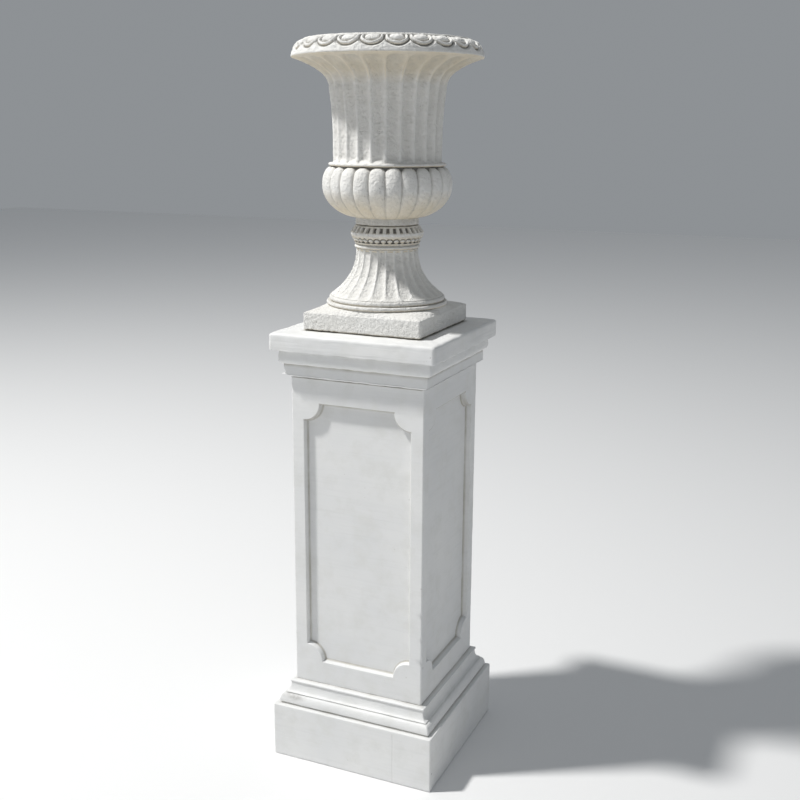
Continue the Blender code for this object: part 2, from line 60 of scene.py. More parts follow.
PANEL_HALF = 0.1261
PANEL_LOW = 0.2368
PANEL_HIGH = 0.8437
PANEL_DEPTH = 0.0135
NOTCH_RADIUS = 0.0385
CAP_MIDDLE = 0.0300
CAP_LOW = 0.9000
BAND_HALF, BAND_LOW, BAND_HIGH = 0.1690, 0.9062, 0.9293
ROUND_LOW, ROUND_HIGH = (0.1694, 0.9298), (0.1780, 0.9424)
BED_HALF = 0.1764
SLAB_HALF = 0.1927
SLAB_LOW = 0.9603
PEDESTAL_TOP = 1.0000
MOULDING_CORNER, SLAB_CORNER, INSIDE_CORNER = 0.0030, 0.0075, 0.0060
OUTSIDE_FROM = 0.1500
LONGEST_RUN = 0.0090
SPOT_PITCH = 0.0115

# Wall of the sunk panel as (inset from its edge, depth, painted shade and dirt in the crease at its foot)
PANEL_WALL = [
    (-0.0030, 0.0, 0.0), (-0.0022, 0.0, 0.0), (-0.0013, 0.0003, 0.0), (-0.0005, 0.0009, 0.0),
    (0.0, 0.0020, 0.0), (0.0005, 0.0050, 0.0), (0.0010, 0.0080, 0.2), (0.0015, 0.0106, 0.6),
    (0.0020, 0.0123, 1.0), (0.0029, 0.0131, 1.0), (0.0042, PANEL_DEPTH, 0.5), (0.0062, PANEL_DEPTH, 0.0),
]

# Crevices in the mouldings that get painted shade and dirt, as (half width, height, amount)
BASE_CREVICES = [(0.1842, 0.1290, 1.0), (0.1752, 0.1517, 0.35), (0.1668, 0.1748, 0.5)]
CAP_CREVICES = [(SHAFT_HALF, CAP_LOW, 0.3), (0.1692, 0.9296, 1.0), (BED_HALF, SLAB_LOW, 1.0)]

# Urn sizes: heights above the pedestal's top; ring mouldings as (radius, low, high)
URN_LIFT = PEDESTAL_TOP + 0.0003
FOOT_HALF, FOOT_ARRIS = 0.1372, 0.0042
FOOT_TOP, FOOT_RISE = 0.0395, 0.0100
LOWER_RING = (0.1335, 0.0495, 0.0585)
UPPER_RING = (0.1275, 0.0585, 0.0692)
STEM_LOW, STEM_HIGH = 0.0710, 0.1700
STEM_WIDE, STEM_NARROW, STEM_SWEEP = 0.1232, 0.0682, 2.4
STEM_FLUTE, STEM_FLUTE_WIDTH = 0.0058, 0.86
COLLAR = (0.0716, 0.1728, 0.1786)
BEAD_LOW, BEAD_HIGH, BEAD_DEPTH = 0.1852, 0.1980, 0.0058
BEAD_MIDDLE, BEAD_HALF, BEAD_FOOT = 0.1899, 0.0047, 0.0728
KNOT_RADIUS, KNOT_LOW, KNOT_HIGH = 0.0800, 0.1996, 0.2058
TONGUE_TOP, TONGUE_TAPER, TONGUE_DEPTH = 0.2208, 0.0108, 0.0058
WAIST_RADIUS, WAIST_LOW, WAIST_HIGH = 0.0687, 0.2228, 0.2350
BELLY_START = (0.0732, 0.2380)
BELLY_WIDE = (0.1407, 0.3044)
BELLY_TOP, BELLY_SEAT = 0.3450, 0.1205
LOBE_DEPTH, LOBE_WIDTH = 0.0090, 1.02
GIRDLE = (0.1266, 0.3450, 0.3530)
GIRDLE_UNDERCUT = 0.1195
NECK_LOW, NECK_HIGH = 0.3540, 0.5020
NECK_RADIUS, NECK_SPREAD, NECK_SWEEP = 0.1168, 0.0078, 3.1
NECK_FLUTE, NECK_FLUTE_WIDTH = 0.0068, 0.81
FLARE_HIGH, FLARE_WIDE, FLARE_SWEEP = 0.5650, 0.1985, 2.5
RIM_WIDE, LIP_TOP, RIM_TOP = 0.2030, 0.5733, 0.6035
RIM_TOP_OUT, RIM_TOP_IN = 0.1765, 0.1670
BOWL_WALL = 0.0240
BOWL_FLOOR, BOWL_FLOOR_RADIUS, BOWL_CURVE = 0.2640, 0.0700, 0.0404
BULGE_BEND = 84.0
LOBES, BEADS = 24, 32
BEAD_TURN, TONGUE_TURN = 0.9, 3.2
COLUMNS = 480

# Egg band: outlines as (width, bottom), in shares of half a repeat and of the band's height
EGG_LOOP, GROOVE_LOOP, SHELL_LOOP = (0.58, 0.46), (0.68, 0.37), (0.93, 0.17)
EGG_SHOULDER, DART_TOP = 0.74, 0.45
EGG_DEPTH, GROOVE_DEPTH, TRENCH_DEPTH = 0.0050, 0.0060, 0.0050
EGG_BAND_INSET, EGG_BAND_RISE, EGG_ROWS = 0.0247, 0.0277, 27


def ripple(points, size, seed, waves=14):
    """Smooth unevenness of about -1 to 1 with bumps of the given size."""
    chance = np.random.default_rng(seed)
    total = np.zeros(len(points))
    for _ in range(waves):
        direction = chance.normal(size=3)
        direction /= np.linalg.norm(direction)
        pitch = size * chance.uniform(0.6, 1.7)
        total += np.sin(points @ direction * (2.0 * math.pi / pitch) + chance.uniform(0.0, 2.0 * math.pi))
    return total / math.sqrt(0.5 * waves) / 1.6


def new_object(name, data):
    thing = bpy.data.objects.new(name, data)
    bpy.context.scene.collection.objects.link(thing)
    return thing


class Skin:
    """Points with a painted shade and dirt value each, and the faces between them."""

    def __init__(self):
        self.points = []
        self.hollow = []
        self.faces = []
        self.size = 0

    def ring(self, points, hollow=0.0):
        """Add one closed ring and give back the numbers of its points."""
        count = len(points)
        self.points.append(np.asarray(points, dtype=float))
        self.hollow.append(np.broadcast_to(np.asarray(hollow, dtype=float), (count,)))
        self.size += count
        return np.arange(self.size - count, self.size)

    def join(self, lower, upper):
        """Faces between two rings; one may have a whole number of times more points."""
        if len(lower) == len(upper):
            follow_low, follow_up = np.roll(lower, -1), np.roll(upper, -1)
            self.faces += np.stack([lower, follow_low, follow_up, upper], axis=1).tolist()
            return
        fine, coarse = (lower, upper) if len(lower) > len(upper) else (upper, lower)
        turned = len(lower) < len(upper)
        share = len(fine) // len(coarse)
        half = share // 2
        for index in range(len(coarse)):
            corner, follow = coarse[index], coarse[(index + 1) % len(coarse)]
            first = index * share
            group = []
            for step in range(share):
                near = corner if step < half else follow
                group.append([near, fine[(first + step) % len(fine)], fine[(first + step + 1) % len(fine)]])
            group.append([corner, fine[(first + half) % len(fine)], follow])
            self.faces += [[int(v) for v in (face[::-1] if turned else face)] for face in group]

    def run(self, rings):
        """Join a list of rings one after another."""
        for lower, upper in zip(rings, rings[1:]):
            self.join(lower, upper)

    def close(self, ring):
        self.faces.append([int(v) for v in ring])

    def sheet(self, points, faces, hollow=0.0):
        """Add loose points and the faces between them."""
        first = int(self.ring(points, hollow)[0])
        self.faces += [[first + int(v) for v in face] for face in faces]

    def build_closed(self, rings, name):
        """Join the rings, close both ends and make the mesh object."""
        self.run(rings)
        self.close(rings[0][::-1])
        self.close(rings[-1])
        return self.build(name)

    def build(self, name, weld=0.0):
        """Make the mesh object, faces turned outwards, with its painted shade and dirt values kept on its
        points.
        """
        mesh = bpy.data.meshes.new(name)
        mesh.from_pydata(np.concatenate(self.points).tolist(), [], self.faces)
        values = np.concatenate(self.hollow)
        layer = mesh.attributes.new("hollow", "FLOAT", "POINT")
        layer.data.foreach_set("value", values.astype(np.float32))
        edit = bmesh.new()
        edit.from_mesh(mesh)
        if weld > 0.0:
            bmesh.ops.remove_doubles(edit, verts=edit.verts, dist=weld)
        bmesh.ops.recalc_face_normals(edit, faces=edit.faces)
        edit.to_mesh(mesh)
        edit.free()
        return new_object(name, mesh)


def vectors(items, key):
    """Array with one row of three numbers for each item."""
    values = np.empty(3 * len(items))
    items.foreach_get(key, values)
    return values.reshape(-1, 3)


def wear(thing, layers, seed, extra=None):
    """Sink the surface a little, unevenly; layers are (bump size, depth) and nothing stands proud."""
    mesh = thing.data
    points, normals = vectors(mesh.vertices, "co"), vectors(mesh.vertex_normals, "vector")
    sink = np.zeros(len(points))
    for number, (size, depth) in enumerate(layers):
        sink += depth * np.clip(0.5 + 0.5 * ripple(points, size, seed + number), 0.0, 1.0)
    if extra is not None:
        sink += extra(points)
    points -= normals * sink[:, None]
    mesh.vertices.foreach_set("co", points.ravel())
    mesh.update()


# Urn: everything round is a list of rings of points, each ring with its painted shade and dirt, strongest in
# grooves, slots and undercuts


def spun(x, y, side):
    """Point turned about the middle line by a number of quarter turns."""
    spin = 0.5 * math.pi * side
    return x * math.cos(spin) - y * math.sin(spin), x * math.sin(spin) + y * math.cos(spin)


def turns(columns):
    return 2.0 * math.pi * np.arange(columns) / columns


def place_across(turn, repeats, phase=0.0):
    """Signed place across a repeat: 0 on its middle line, 1 and -1 on the lines between repeats."""
    part = (turn - phase) * repeats / (2.0 * math.pi)
    return 2.0 * (part - np.round(part))


def circle(turn, radius, height):
    radius = np.broadcast_to(radius, turn.shape)
    height = np.broadcast_to(height, turn.shape)
    return np.stack([radius * np.cos(turn), radius * np.sin(turn), height + URN_LIFT], axis=1)


def channel(across, width):
    """Hollow of a flute: 1 in its middle, 0 on its arris."""
    if width <= 0.0:
        return np.zeros_like(across)
    return np.sqrt(np.clip(1.0 - (across / width) ** 2, 0.0, 1.0))


def end_width(part, start, end, width):
    """Width of a flute whose ends are rounded within the given shares of its length."""
    if part <= 0.0 or part >= 1.0:
        return 0.0
    low = min(1.0, part / start) if start > 0.0 else 1.0
    high = min(1.0, (1.0 - part) / end) if end > 0.0 else 1.0
    shrink = math.sqrt(1.0 - (1.0 - low) ** 2) * math.sqrt(1.0 - (1.0 - high) ** 2)
    return width * shrink


def bulge_rows(turn, moulding, depth, steps, low_shade, high_shade):
    """Rounded ring moulding, with painted shade and dirt in the grooves below and above it."""
    radius, low, high = moulding
    middle, half = 0.5 * (low + high), 0.5 * (high - low)
    for step in range(steps + 1):
        bend = math.radians(BULGE_BEND * (2.0 * step / steps - 1.0))
        reach = radius - depth * (1.0 - math.cos(bend))
        height = middle + half * math.sin(bend) / math.sin(math.radians(BULGE_BEND))
        yield circle(turn, reach, height), {0: low_shade, steps: high_shade}.get(step, 0.0)


def square_turn(columns, half, corner, height):
    """Rounded square with as many points as the round rings, starting in the middle of its +X side."""
    flat = half - corner
    arc = 0.5 * math.pi * corner
    side = 2.0 * flat + arc
    points = []
    for index in range(columns):
        along = (index / columns) * 4.0 * side
        number = int((along + 0.5 * side) // side)
        rest = along - number * side
        if abs(rest) <= flat:
            x, y = half, rest
        else:
            turn = (abs(rest) - flat) / corner
            x = flat + corner * math.cos(turn)
            y = math.copysign(flat + corner * math.sin(turn), rest)
        points.append((*spun(x, y, number), height + URN_LIFT))
    return np.array(points)


def foot_slab_rows(turn):
    """Square slab of the foot, from under it up to the lower ring moulding, with painted shadow along its
    bottom edge and painted shade where its sloped top meets the ring.
    """
    yield square_turn(COLUMNS, FOOT_HALF - 0.0300, 0.0050, 0.0), 1.0
    yield square_turn(COLUMNS, FOOT_HALF - FOOT_ARRIS - 0.0010, FOOT_ARRIS, 0.0), 1.0
    for step, shade in enumerate((1.0, 1.0, 0.95, 0.6, 0.2)):
        bend = 0.5 * math.pi * step / 4
        half = FOOT_HALF - FOOT_ARRIS * (1.0 - math.sin(bend))
        yield square_turn(COLUMNS, half, FOOT_ARRIS, FOOT_ARRIS * (1.0 - math.cos(bend))), shade
    for step in range(1, 13):
        height = FOOT_ARRIS + (FOOT_TOP - 2.0 * FOOT_ARRIS) * step / 12
        yield square_turn(COLUMNS, FOOT_HALF, FOOT_ARRIS, height), 0.0
    for step in range(1, 5):
        bend = 0.5 * math.pi * step / 4
        half = FOOT_HALF - 0.6 * FOOT_ARRIS * (1.0 - math.cos(bend))
        height = FOOT_TOP - FOOT_ARRIS + FOOT_ARRIS * math.sin(bend)
        yield square_turn(COLUMNS, half, FOOT_ARRIS, height), 0.0
    edge = square_turn(COLUMNS, FOOT_HALF - 0.6 * FOOT_ARRIS, FOOT_ARRIS, FOOT_TOP)
    inner = circle(turn, LOWER_RING[0] - 0.0045, FOOT_TOP)
    for step in range(1, 11):
        part = step / 10
        sloped = edge + (inner - edge) * part
        sloped[:, 2] += FOOT_RISE * part ** 0.85
        yield sloped, 0.75 * max(0.0, part - 0.85) / 0.15


def stem_radius(part):
    return STEM_NARROW + (STEM_WIDE - STEM_NARROW) * (1.0 - part) ** STEM_SWEEP


def stem_rows(turn):
    """Two ring mouldings and the fluted stem, which narrows upwards, with painted shade in the grooves and
    flutes.
    """
    for moulding in (LOWER_RING, UPPER_RING):
        yield from bulge_rows(turn, moulding, 0.0040, 8, 0.8, 0.8)
    yield circle(turn, STEM_WIDE + 0.0002, 0.5 * (UPPER_RING[2] + STEM_LOW)), 0.85
    across = place_across(turn, LOBES)
    for step in range(31):
        part = (step / 30) ** 1.15
        cut = channel(across, end_width(part, 0.07, 0.05, STEM_FLUTE_WIDTH))
        reach = stem_radius(part) - STEM_FLUTE * (1.0 - 0.30 * part) * cut
        yield circle(turn, reach, STEM_LOW + (STEM_HIGH - STEM_LOW) * part), 0.45 * cut
    yield circle(turn, STEM_NARROW - 0.0006, 0.5 * (STEM_HIGH + COLLAR[1])), 0.9


def collar_rows(turn):
    """Thin collar on the stem and the groove under the beads, with painted shade in the grooves."""
    yield from bulge_rows(turn, COLLAR, 0.0022, 6, 0.5, 0.5)
    groove = COLLAR[2] + 0.0004
    for outwards, height, shade in ((0.0002, groove, 0.85), (-0.0001, groove + 0.0018, 0.85),
                                    (0.0018, groove + 0.0024, 0.8), (0.0028, groove + 0.0030, 0.2),
                                    (0.0040, BEAD_LOW - 0.0006, 0.0)):
        yield circle(turn, STEM_NARROW + outwards, height), shade


def bead_rows(turn):
    """Band of beads under arched hoods, with painted shade between the hoods and the beads."""
    across = np.abs(place_across(turn, BEADS, math.radians(BEAD_TURN + 0.5 * 360.0 / BEADS)))
    for step in range(17):
        part = step / 16
        height = BEAD_LOW + (BEAD_HIGH - BEAD_LOW) * part
        up = (height - BEAD_MIDDLE) / BEAD_HALF
        away = np.sqrt((across / 0.84) ** 2 + up ** 2)
        dome = 0.0040 * (1.0 - np.sqrt(np.clip(1.0 - (away / 0.97) ** 2, 0.0, 1.0)))
        hood = BEAD_DEPTH - (BEAD_DEPTH - 0.0006) * np.clip((away - 1.18) / 0.14, 0.0, 1.0) * (up > 0.0)
        depth = np.where(away < 0.97, dome, hood)
        settle = min(1.0, part / 0.08, (1.0 - part) / 0.05 + 0.15)
        reach = BEAD_FOOT + (KNOT_RADIUS - 0.0012 - BEAD_FOOT) * part - depth * settle
        yield circle(turn, reach, height), np.clip(depth / BEAD_DEPTH * 1.6 - 0.5, 0.0, 1.0)


def knot_rows(turn):
    """Plain ring between the beads and the tongues."""
    for inset, height, shade in ((0.0010, KNOT_LOW, 0.2), (0.0002, KNOT_LOW + 0.0012, 0.0),
                                 (0.0, KNOT_LOW + 0.0030, 0.0), (0.0, KNOT_HIGH - 0.0006, 0.0)):
        yield circle(turn, KNOT_RADIUS - inset, height), shade


def tongue_rows(turn):
    """Band of upright tongues with painted shade in the slots between them, sloping in towards the waist."""
    across = np.abs(place_across(turn, BEADS, math.radians(TONGUE_TURN)))
    inside = np.clip((0.50 - across) / 0.12, 0.0, 1.0)
    for step in range(17):
        part = step / 16
        height = KNOT_HIGH + (TONGUE_TOP - KNOT_HIGH) * part
        slot = inside * min(1.0, max(0.0, (part - 0.08) / 0.09), max(0.0, (0.82 - part) / 0.09))
        reach = KNOT_RADIUS - TONGUE_TAPER * part ** 1.15 - TONGUE_DEPTH * slot
        yield circle(turn, reach, height), slot


def foot_end_rows(turn):
    """Ledge above the tongues, where the foot ends inside the waist."""
    for inset, rise in ((0.0008, 0.0004), (0.0022, 0.0009), (0.0100, 0.0009)):
        yield circle(turn, WAIST_RADIUS - inset, TONGUE_TOP + rise), 0.8


def build_urn_foot():
    """Square slab, ring mouldings, fluted stem, beads and tongues."""
    skin = Skin()
    turn = turns(COLUMNS)
    rings = []
    for rows in (foot_slab_rows, stem_rows, collar_rows, bead_rows, knot_rows, tongue_rows, foot_end_rows):
        rings += [skin.ring(points, shade) for points, shade in rows(turn)]
    return skin.build_closed(rings, "urn_foot_and_stem")


def waist_rows(turn):
    """Narrow waist between the tongues and the belly, darkened with painted shade and dirt."""
    for inset, height, shade in ((0.0100, TONGUE_TOP + 0.0012, 1.0), (0.0022, TONGUE_TOP + 0.0012, 0.8),
                                 (0.0012, WAIST_LOW - 0.0002, 0.8), (0.0001, WAIST_LOW + 0.0006, 0.6),
                                 (0.0, WAIST_LOW + 0.0030, 0.65), (0.0, WAIST_HIGH - 0.0020, 0.75),
                                 (0.0004, WAIST_HIGH, 0.8), (-0.0004, WAIST_HIGH + 0.0016, 0.85)):
        yield circle(turn, WAIST_RADIUS - inset, height), shade


def belly_rows(turn):
    """Lobed belly: rounded lobes below its widest line, and their shoulders above it, with painted shade in
    the grooves between the lobes.
    """
    across = np.abs(place_across(turn, LOBES))
    start, low = BELLY_START
    wide, middle = BELLY_WIDE
    for step in range(21):
        part = (step / 20) ** 0.9
        bend = 0.5 * math.pi * part
        height = low + (middle - low) * (1.0 - math.cos(bend)) ** 0.85
        radius = start + (wide - start) * math.sin(bend)
        depth = LOBE_DEPTH * (0.28 + 0.72 * part)
        round_off = 1.0 - np.sqrt(np.clip(1.0 - (across / LOBE_WIDTH) ** 2, 0.0, 1.0))
        yield circle(turn, radius - depth * round_off, height), np.clip(1.3 * round_off - 0.25, 0.0, 1.0)
    for step in range(1, 17):
        part = (step / 16) ** 0.85
        height = middle + (BELLY_TOP - middle) * part
        radius = wide - 0.0320 * (1.0 - math.sqrt(1.0 - (0.80 * part) ** 2)) - 0.0040 * part ** 9
        top = max(0.0, (part - 0.62) / 0.38)
        width = LOBE_WIDTH * math.sqrt(max(0.0, 1.0 - top ** 2.2))
        if width > 0.0:
            round_off = 1.0 - np.sqrt(np.clip(1.0 - (across / width) ** 2, 0.0, 1.0))
        else:
            round_off = np.ones_like(across)
        depth = LOBE_DEPTH * (1.0 - 0.25 * top)
        reach = np.maximum(radius - depth * round_off, BELLY_SEAT)
        yield circle(turn, reach, height), np.clip(1.3 * round_off - 0.25, 0.0, 1.0)


def girdle_rows(turn):
    """Plain ring on top of the belly, undercut below, with painted shade in the undercut and the grooves."""
    yield circle(turn, GIRDLE_UNDERCUT, GIRDLE[1]), 1.0
    yield from bulge_rows(turn, (GIRDLE[0], GIRDLE[1] + 0.0006, GIRDLE[2]), 0.0042, 8, 0.8, 0.0)
    yield circle(turn, NECK_RADIUS + 0.0010, GIRDLE[2] + 0.0006), 0.7


def neck_radius(part):
    return NECK_RADIUS + NECK_SPREAD * part ** NECK_SWEEP


def flare_point(part):
    start = NECK_RADIUS + NECK_SPREAD
    return (start + (FLARE_WIDE - start) * part ** FLARE_SWEEP, NECK_HIGH + (FLARE_HIGH - NECK_HIGH) * part)


def neck_rows(turn):
    """Fluted neck and the flare in which the flutes end in round scallops, with painted shade in the flutes
    and on the flare, darker towards the overhanging rim.
    """
    across = place_across(turn, LOBES)
    for step in range(17):
        part = (step / 16) ** 1.1
        width = NECK_FLUTE_WIDTH * math.sqrt(1.0 - (1.0 - min(1.0, part / 0.035)) ** 2)
        cut = channel(across, width)
        yield circle(turn, neck_radius(part) - NECK_FLUTE * cut,
                     NECK_LOW + (NECK_HIGH - NECK_LOW) * part), 0.5 * cut
    for step in range(1, 25):
        part = step / 24
        radius, height = flare_point(part)
        width = NECK_FLUTE_WIDTH + 0.06 * part
        top = max(0.0, (part - 0.84) / 0.115)
        width *= math.sqrt(max(0.0, 1.0 - top ** 2)) if top < 1.0 else 0.0
        cut = channel(across, width)
        after_radius, after_height = flare_point(part + 0.001)
        spread, up = after_radius - radius, after_height - height
        sunk = NECK_FLUTE * (1.0 - 0.30 * part) * cut / math.hypot(spread, up)
        shade = np.clip(0.5 * cut + 0.5 * part, 0.0, 0.85)
        yield circle(turn, radius - sunk * up, height + sunk * spread), shade


def lip_rows(turn):
    """Plain rounded lip under the eggs."""
    for inset, rise in ((0.0033, 0.0002), (0.0017, 0.0006), (0.0006, 0.0016), (0.0, 0.0034), (0.0, 0.0054),
                        (0.0003, 0.0066), (0.0008, 0.0075)):
        yield circle(turn, RIM_WIDE - inset, FLARE_HIGH + rise), 0.0


def egg_relief(across, part):
    """Depth below the band's outermost surface and painted shade; part runs up the band from the lip."""
    across = np.abs(across)

    def loop(width, bottom):
        fall = max(0.0, (EGG_SHOULDER - part) / (EGG_SHOULDER - bottom))
        return np.sqrt((across / width) ** 2 + fall ** 2)

    egg, groove, shell = loop(*EGG_LOOP), loop(*GROOVE_LOOP), loop(*SHELL_LOOP)
    dart_width = 0.02 + 0.10 * (1.0 - part / DART_TOP) if part < DART_TOP else 0.0
    dart = channel(1.0 - across, dart_width)
    # Painted shadow: darkest in the crescent of the trench under each shell and in the groove round each
    # egg.
    trench = np.clip(1.0 - (shell - 1.0) / 0.26, 0.0, 1.0) * (1.0 - dart)
    depth = 0.0022 * min(1.0, part / 0.5) + TRENCH_DEPTH * np.sqrt(trench) * min(1.0, part / 0.03)
    shade = np.clip(1.7 * trench, 0.0, 1.0)
    across_shell = np.clip((1.0 - shell) / np.maximum(groove - shell, 1e-6), 0.0, 1.0)
    in_shell = (shell < 1.0) & (groove >= 1.0)
    depth = np.where(in_shell, 0.0008 + 0.0026 * (2.0 * across_shell - 1.0) ** 2, depth)
    shade = np.where(in_shell, 0.0, shade)
    in_groove = (groove < 1.0) & (egg >= 1.0)
    depth = np.where(in_groove, GROOVE_DEPTH, depth)
    shade = np.where(in_groove, 0.95, shade)
    dome = channel(egg, 1.0)
    depth = np.where(egg < 1.0, EGG_DEPTH * (1.0 - dome), depth)
    shade = np.where(egg < 1.0, np.clip(0.5 - 1.6 * dome, 0.0, 1.0), shade)
    return depth, shade


def egg_rows(turn):
    """The rim's band of eggs in their thick shells, with darts between them."""
    across = place_across(turn, LOBES)
    for step in range(EGG_ROWS + 1):
        part = (step / EGG_ROWS) ** 1.2
        bend = 0.5 * math.pi * (0.02 + 0.93 * part)
        radius = RIM_WIDE - 0.0010 - EGG_BAND_INSET * (1.0 - math.cos(bend))
        height = LIP_TOP + EGG_BAND_RISE * math.sin(bend)
        depth, shade = egg_relief(across, part)
        yield circle(turn, radius - depth * math.cos(bend), height - depth * math.sin(bend)), shade


def rim_top_rows(turn):
    """Flat top of the rim, from the groove above the eggs to the edge of the bowl, with painted shade in the
    groove.
    """
    middle = 0.5 * (RIM_TOP_OUT + RIM_TOP_IN)
    for reach, drop, shade in ((RIM_TOP_OUT + 0.0016, 0.0042, 1.0), (RIM_TOP_OUT + 0.0007, 0.0030, 0.7),
                               (RIM_TOP_OUT, 0.0010, 0.0), (RIM_TOP_OUT - 0.0012, 0.0, 0.0),
                               (middle, 0.0, 0.0), (RIM_TOP_IN + 0.0008, 0.0, 0.0)):
        yield circle(turn, reach, RIM_TOP - drop), shade


def bowl_points():
    """Inside outline of the bowl from the rim down, one wall away from the outside."""
    yield RIM_TOP_IN - 0.0008, RIM_TOP - 0.0006
    yield RIM_TOP_IN - 0.0016, RIM_TOP - 0.0030
    for part in (0.85, 0.78, 0.70, 0.60, 0.50, 0.40, 0.30, 0.20, 0.10):
        radius, height = flare_point(part)
        after_radius, after_height = flare_point(part + 0.001)
        across, up = after_radius - radius, after_height - height
        length = math.hypot(across, up)
        yield radius - BOWL_WALL * up / length, height + BOWL_WALL * across / length
    yield neck_radius(0.5) - BOWL_WALL, NECK_LOW + 0.5 * (NECK_HIGH - NECK_LOW)
    yield NECK_RADIUS - BOWL_WALL, NECK_LOW + 0.0148
    yield NECK_RADIUS - BOWL_WALL + 0.0015, 0.3498
    yield 0.1081, 0.3308
    widening = BELLY_WIDE[0] - BOWL_WALL - BOWL_FLOOR_RADIUS
    for step in range(7):
        bend = 0.5 * math.pi * (1.0 - step / 6)
        yield BOWL_FLOOR_RADIUS + widening * math.sin(bend), BOWL_FLOOR + BOWL_CURVE * (1.0 - math.cos(bend))


def build_urn_bowl():
    """Waist, belly, neck and rim of the urn, and the inside of its bowl."""
    skin = Skin()
    turn, fine, coarse = turns(COLUMNS), turns(3 * COLUMNS), turns(COLUMNS // 2)
    rings = []
    for rows in (waist_rows(turn), belly_rows(turn), girdle_rows(turn), neck_rows(turn), lip_rows(turn),
                 egg_rows(fine), rim_top_rows(turn)):
        rings += [skin.ring(points, shade) for points, shade in rows]
    # The inside of the bowl is slightly darkened with painted shade.
    rings += [skin.ring(circle(coarse, reach, height), 0.15) for reach, height in bowl_points()]
    return skin.build_closed(rings, "urn_bowl_and_rim")


# Pedestal: mouldings are outlines swept round a rounded square


def soften(corners, steps=4):
    """Outline through corners given as (half, height, rounding), each turned into a small arc."""
    outline = [corners[0][:2]]
    for before, corner, after in zip(corners, corners[1:], corners[2:]):
        here = Vector(corner[:2])
        back, ahead = Vector(before[:2]) - here, Vector(after[:2]) - here
        cut = min(corner[2], 0.45 * back.length, 0.45 * ahead.length)
        if cut <= 0.0:
            outline.append(tuple(here))
            continue
        start, end = here + back.normalized() * cut, here + ahead.normalized() * cut
        spare = min(0.5 * cut, 0.2 * (back.length - cut))
        outline.append(tuple(start + back.normalized() * spare))
        for step in range(steps + 1):
            part = step / steps
            point = start * (1 - part) ** 2 + here * 2 * part * (1 - part) + end * part ** 2
            outline.append(tuple(point))
        spare = min(0.5 * cut, 0.2 * (ahead.length - cut))
        outline.append(tuple(end + ahead.normalized() * spare))
    outline.append(corners[-1][:2])
    kept = [outline[0]]
    for point in outline[1:]:
        if math.dist(point, kept[-1]) > 2e-5:
            kept.append(point)
    return kept


def refine(outline, longest):
    """Split the outline's long straight runs."""
    points = [outline[0]]
    for before, after in zip(outline, outline[1:]):
        pieces = max(1, math.ceil(math.dist(before, after) / longest))
        for piece in range(1, pieces + 1):
            part = piece / pieces
            points.append((before[0] + (after[0] - before[0]) * part,
                           before[1] + (after[1] - before[1]) * part))
    return points


def square_loop(half, corner, height, per_side=64, arc=5):
    """Rounded square ring: the same number of points for every size, close together at the corners."""
    flat = half - corner
    spare = min(0.0020, 0.1 * flat)
    along = [-flat, *np.linspace(-flat + spare, flat - spare, per_side - 1), flat]
    bends = [0.5 * math.pi * step / arc for step in range(1, arc)]
    one_side = [(half, y) for y in along]
    one_side += [(flat + corner * math.cos(bend), flat + corner * math.sin(bend)) for bend in bends]
    return np.array([(*spun(x, y, side), height) for side in range(4) for x, y in one_side])


def quarter(start, end, steps, upright_start):
    """Quarter of an ellipse between two (half, height) points."""
    points = []
    for step in range(steps + 1):
        bend = 0.5 * math.pi * step / steps
        if upright_start:
            across, up = 1.0 - math.cos(bend), math.sin(bend)
        else:
            across, up = math.sin(bend), 1.0 - math.cos(bend)
        points.append((start[0] + (end[0] - start[0]) * across, start[1] + (end[1] - start[1]) * up, 0.0))
    return points


def dirt_near(crevices, reach, half, height):
    """Painted shade and dirt at a point of an outline, from the crevices within reach of it."""
    near = [amount * (1.0 - math.dist((half, height), spot) / reach) for *spot, amount in crevices]
    return max(0.0, *near)


def build_base():
    """Square plinth and the moulding on it: quirk, ovolo, cove and a lip that falls away outwards."""
    corners = [(INSIDE_HALF, 0.0, 0.0), (PLINTH_HALF, 0.0, 0.0020), (PLINTH_HALF, PLINTH_TOP, 0.0030),
               (QUIRK_HALF - 0.0001, PLINTH_TOP - 0.0002, 0.0008), (QUIRK_HALF, QUIRK_TOP, 0.0006),
               (OVOLO_LOW[0] - 0.0002, QUIRK_TOP + 0.0010, 0.0007)]
    corners += quarter(OVOLO_LOW, OVOLO_HIGH, 12, True)
    fillet = COVE_LOW[0] + 0.0012
    corners += [(OVOLO_HIGH[0] - 0.0005, OVOLO_HIGH[1] + 0.0006, 0.0003),
                (fillet, OVOLO_HIGH[1] + 0.0010, 0.0005), (fillet, COVE_LOW[1] - 0.0007, 0.0005)]
    corners += quarter(COVE_LOW, COVE_HIGH, 11, False)
    corners += [(COVE_HIGH[0], COVE_HIGH[1] + 0.0006, 0.0003),
                (BASE_LIP_HALF - 0.0002, COVE_HIGH[1] + 0.0012, 0.0007),
                (BASE_LIP_HALF, BASE_LIP_TOP, 0.0014), (SHAFT_HALF + 0.0008, BASE_TOP, 0.0004),
                (INSIDE_HALF, BASE_TOP, 0.0)]
    skin = Skin()
    rings = []
    for half, height in refine(soften(corners), LONGEST_RUN):
        corner = MOULDING_CORNER if half > OUTSIDE_FROM else INSIDE_CORNER
        shade = dirt_near(BASE_CREVICES, 0.0035, half, height)
        # Painted shade on the base's top under the shaft.
        if abs(height - BASE_TOP) < 0.0008 and half < 0.1600:
            shade = 0.6
        rings.append(skin.ring(square_loop(half, corner, height), shade))
    skin.run(rings + rings[:1])
    return skin.build("plinth_and_base_moulding")


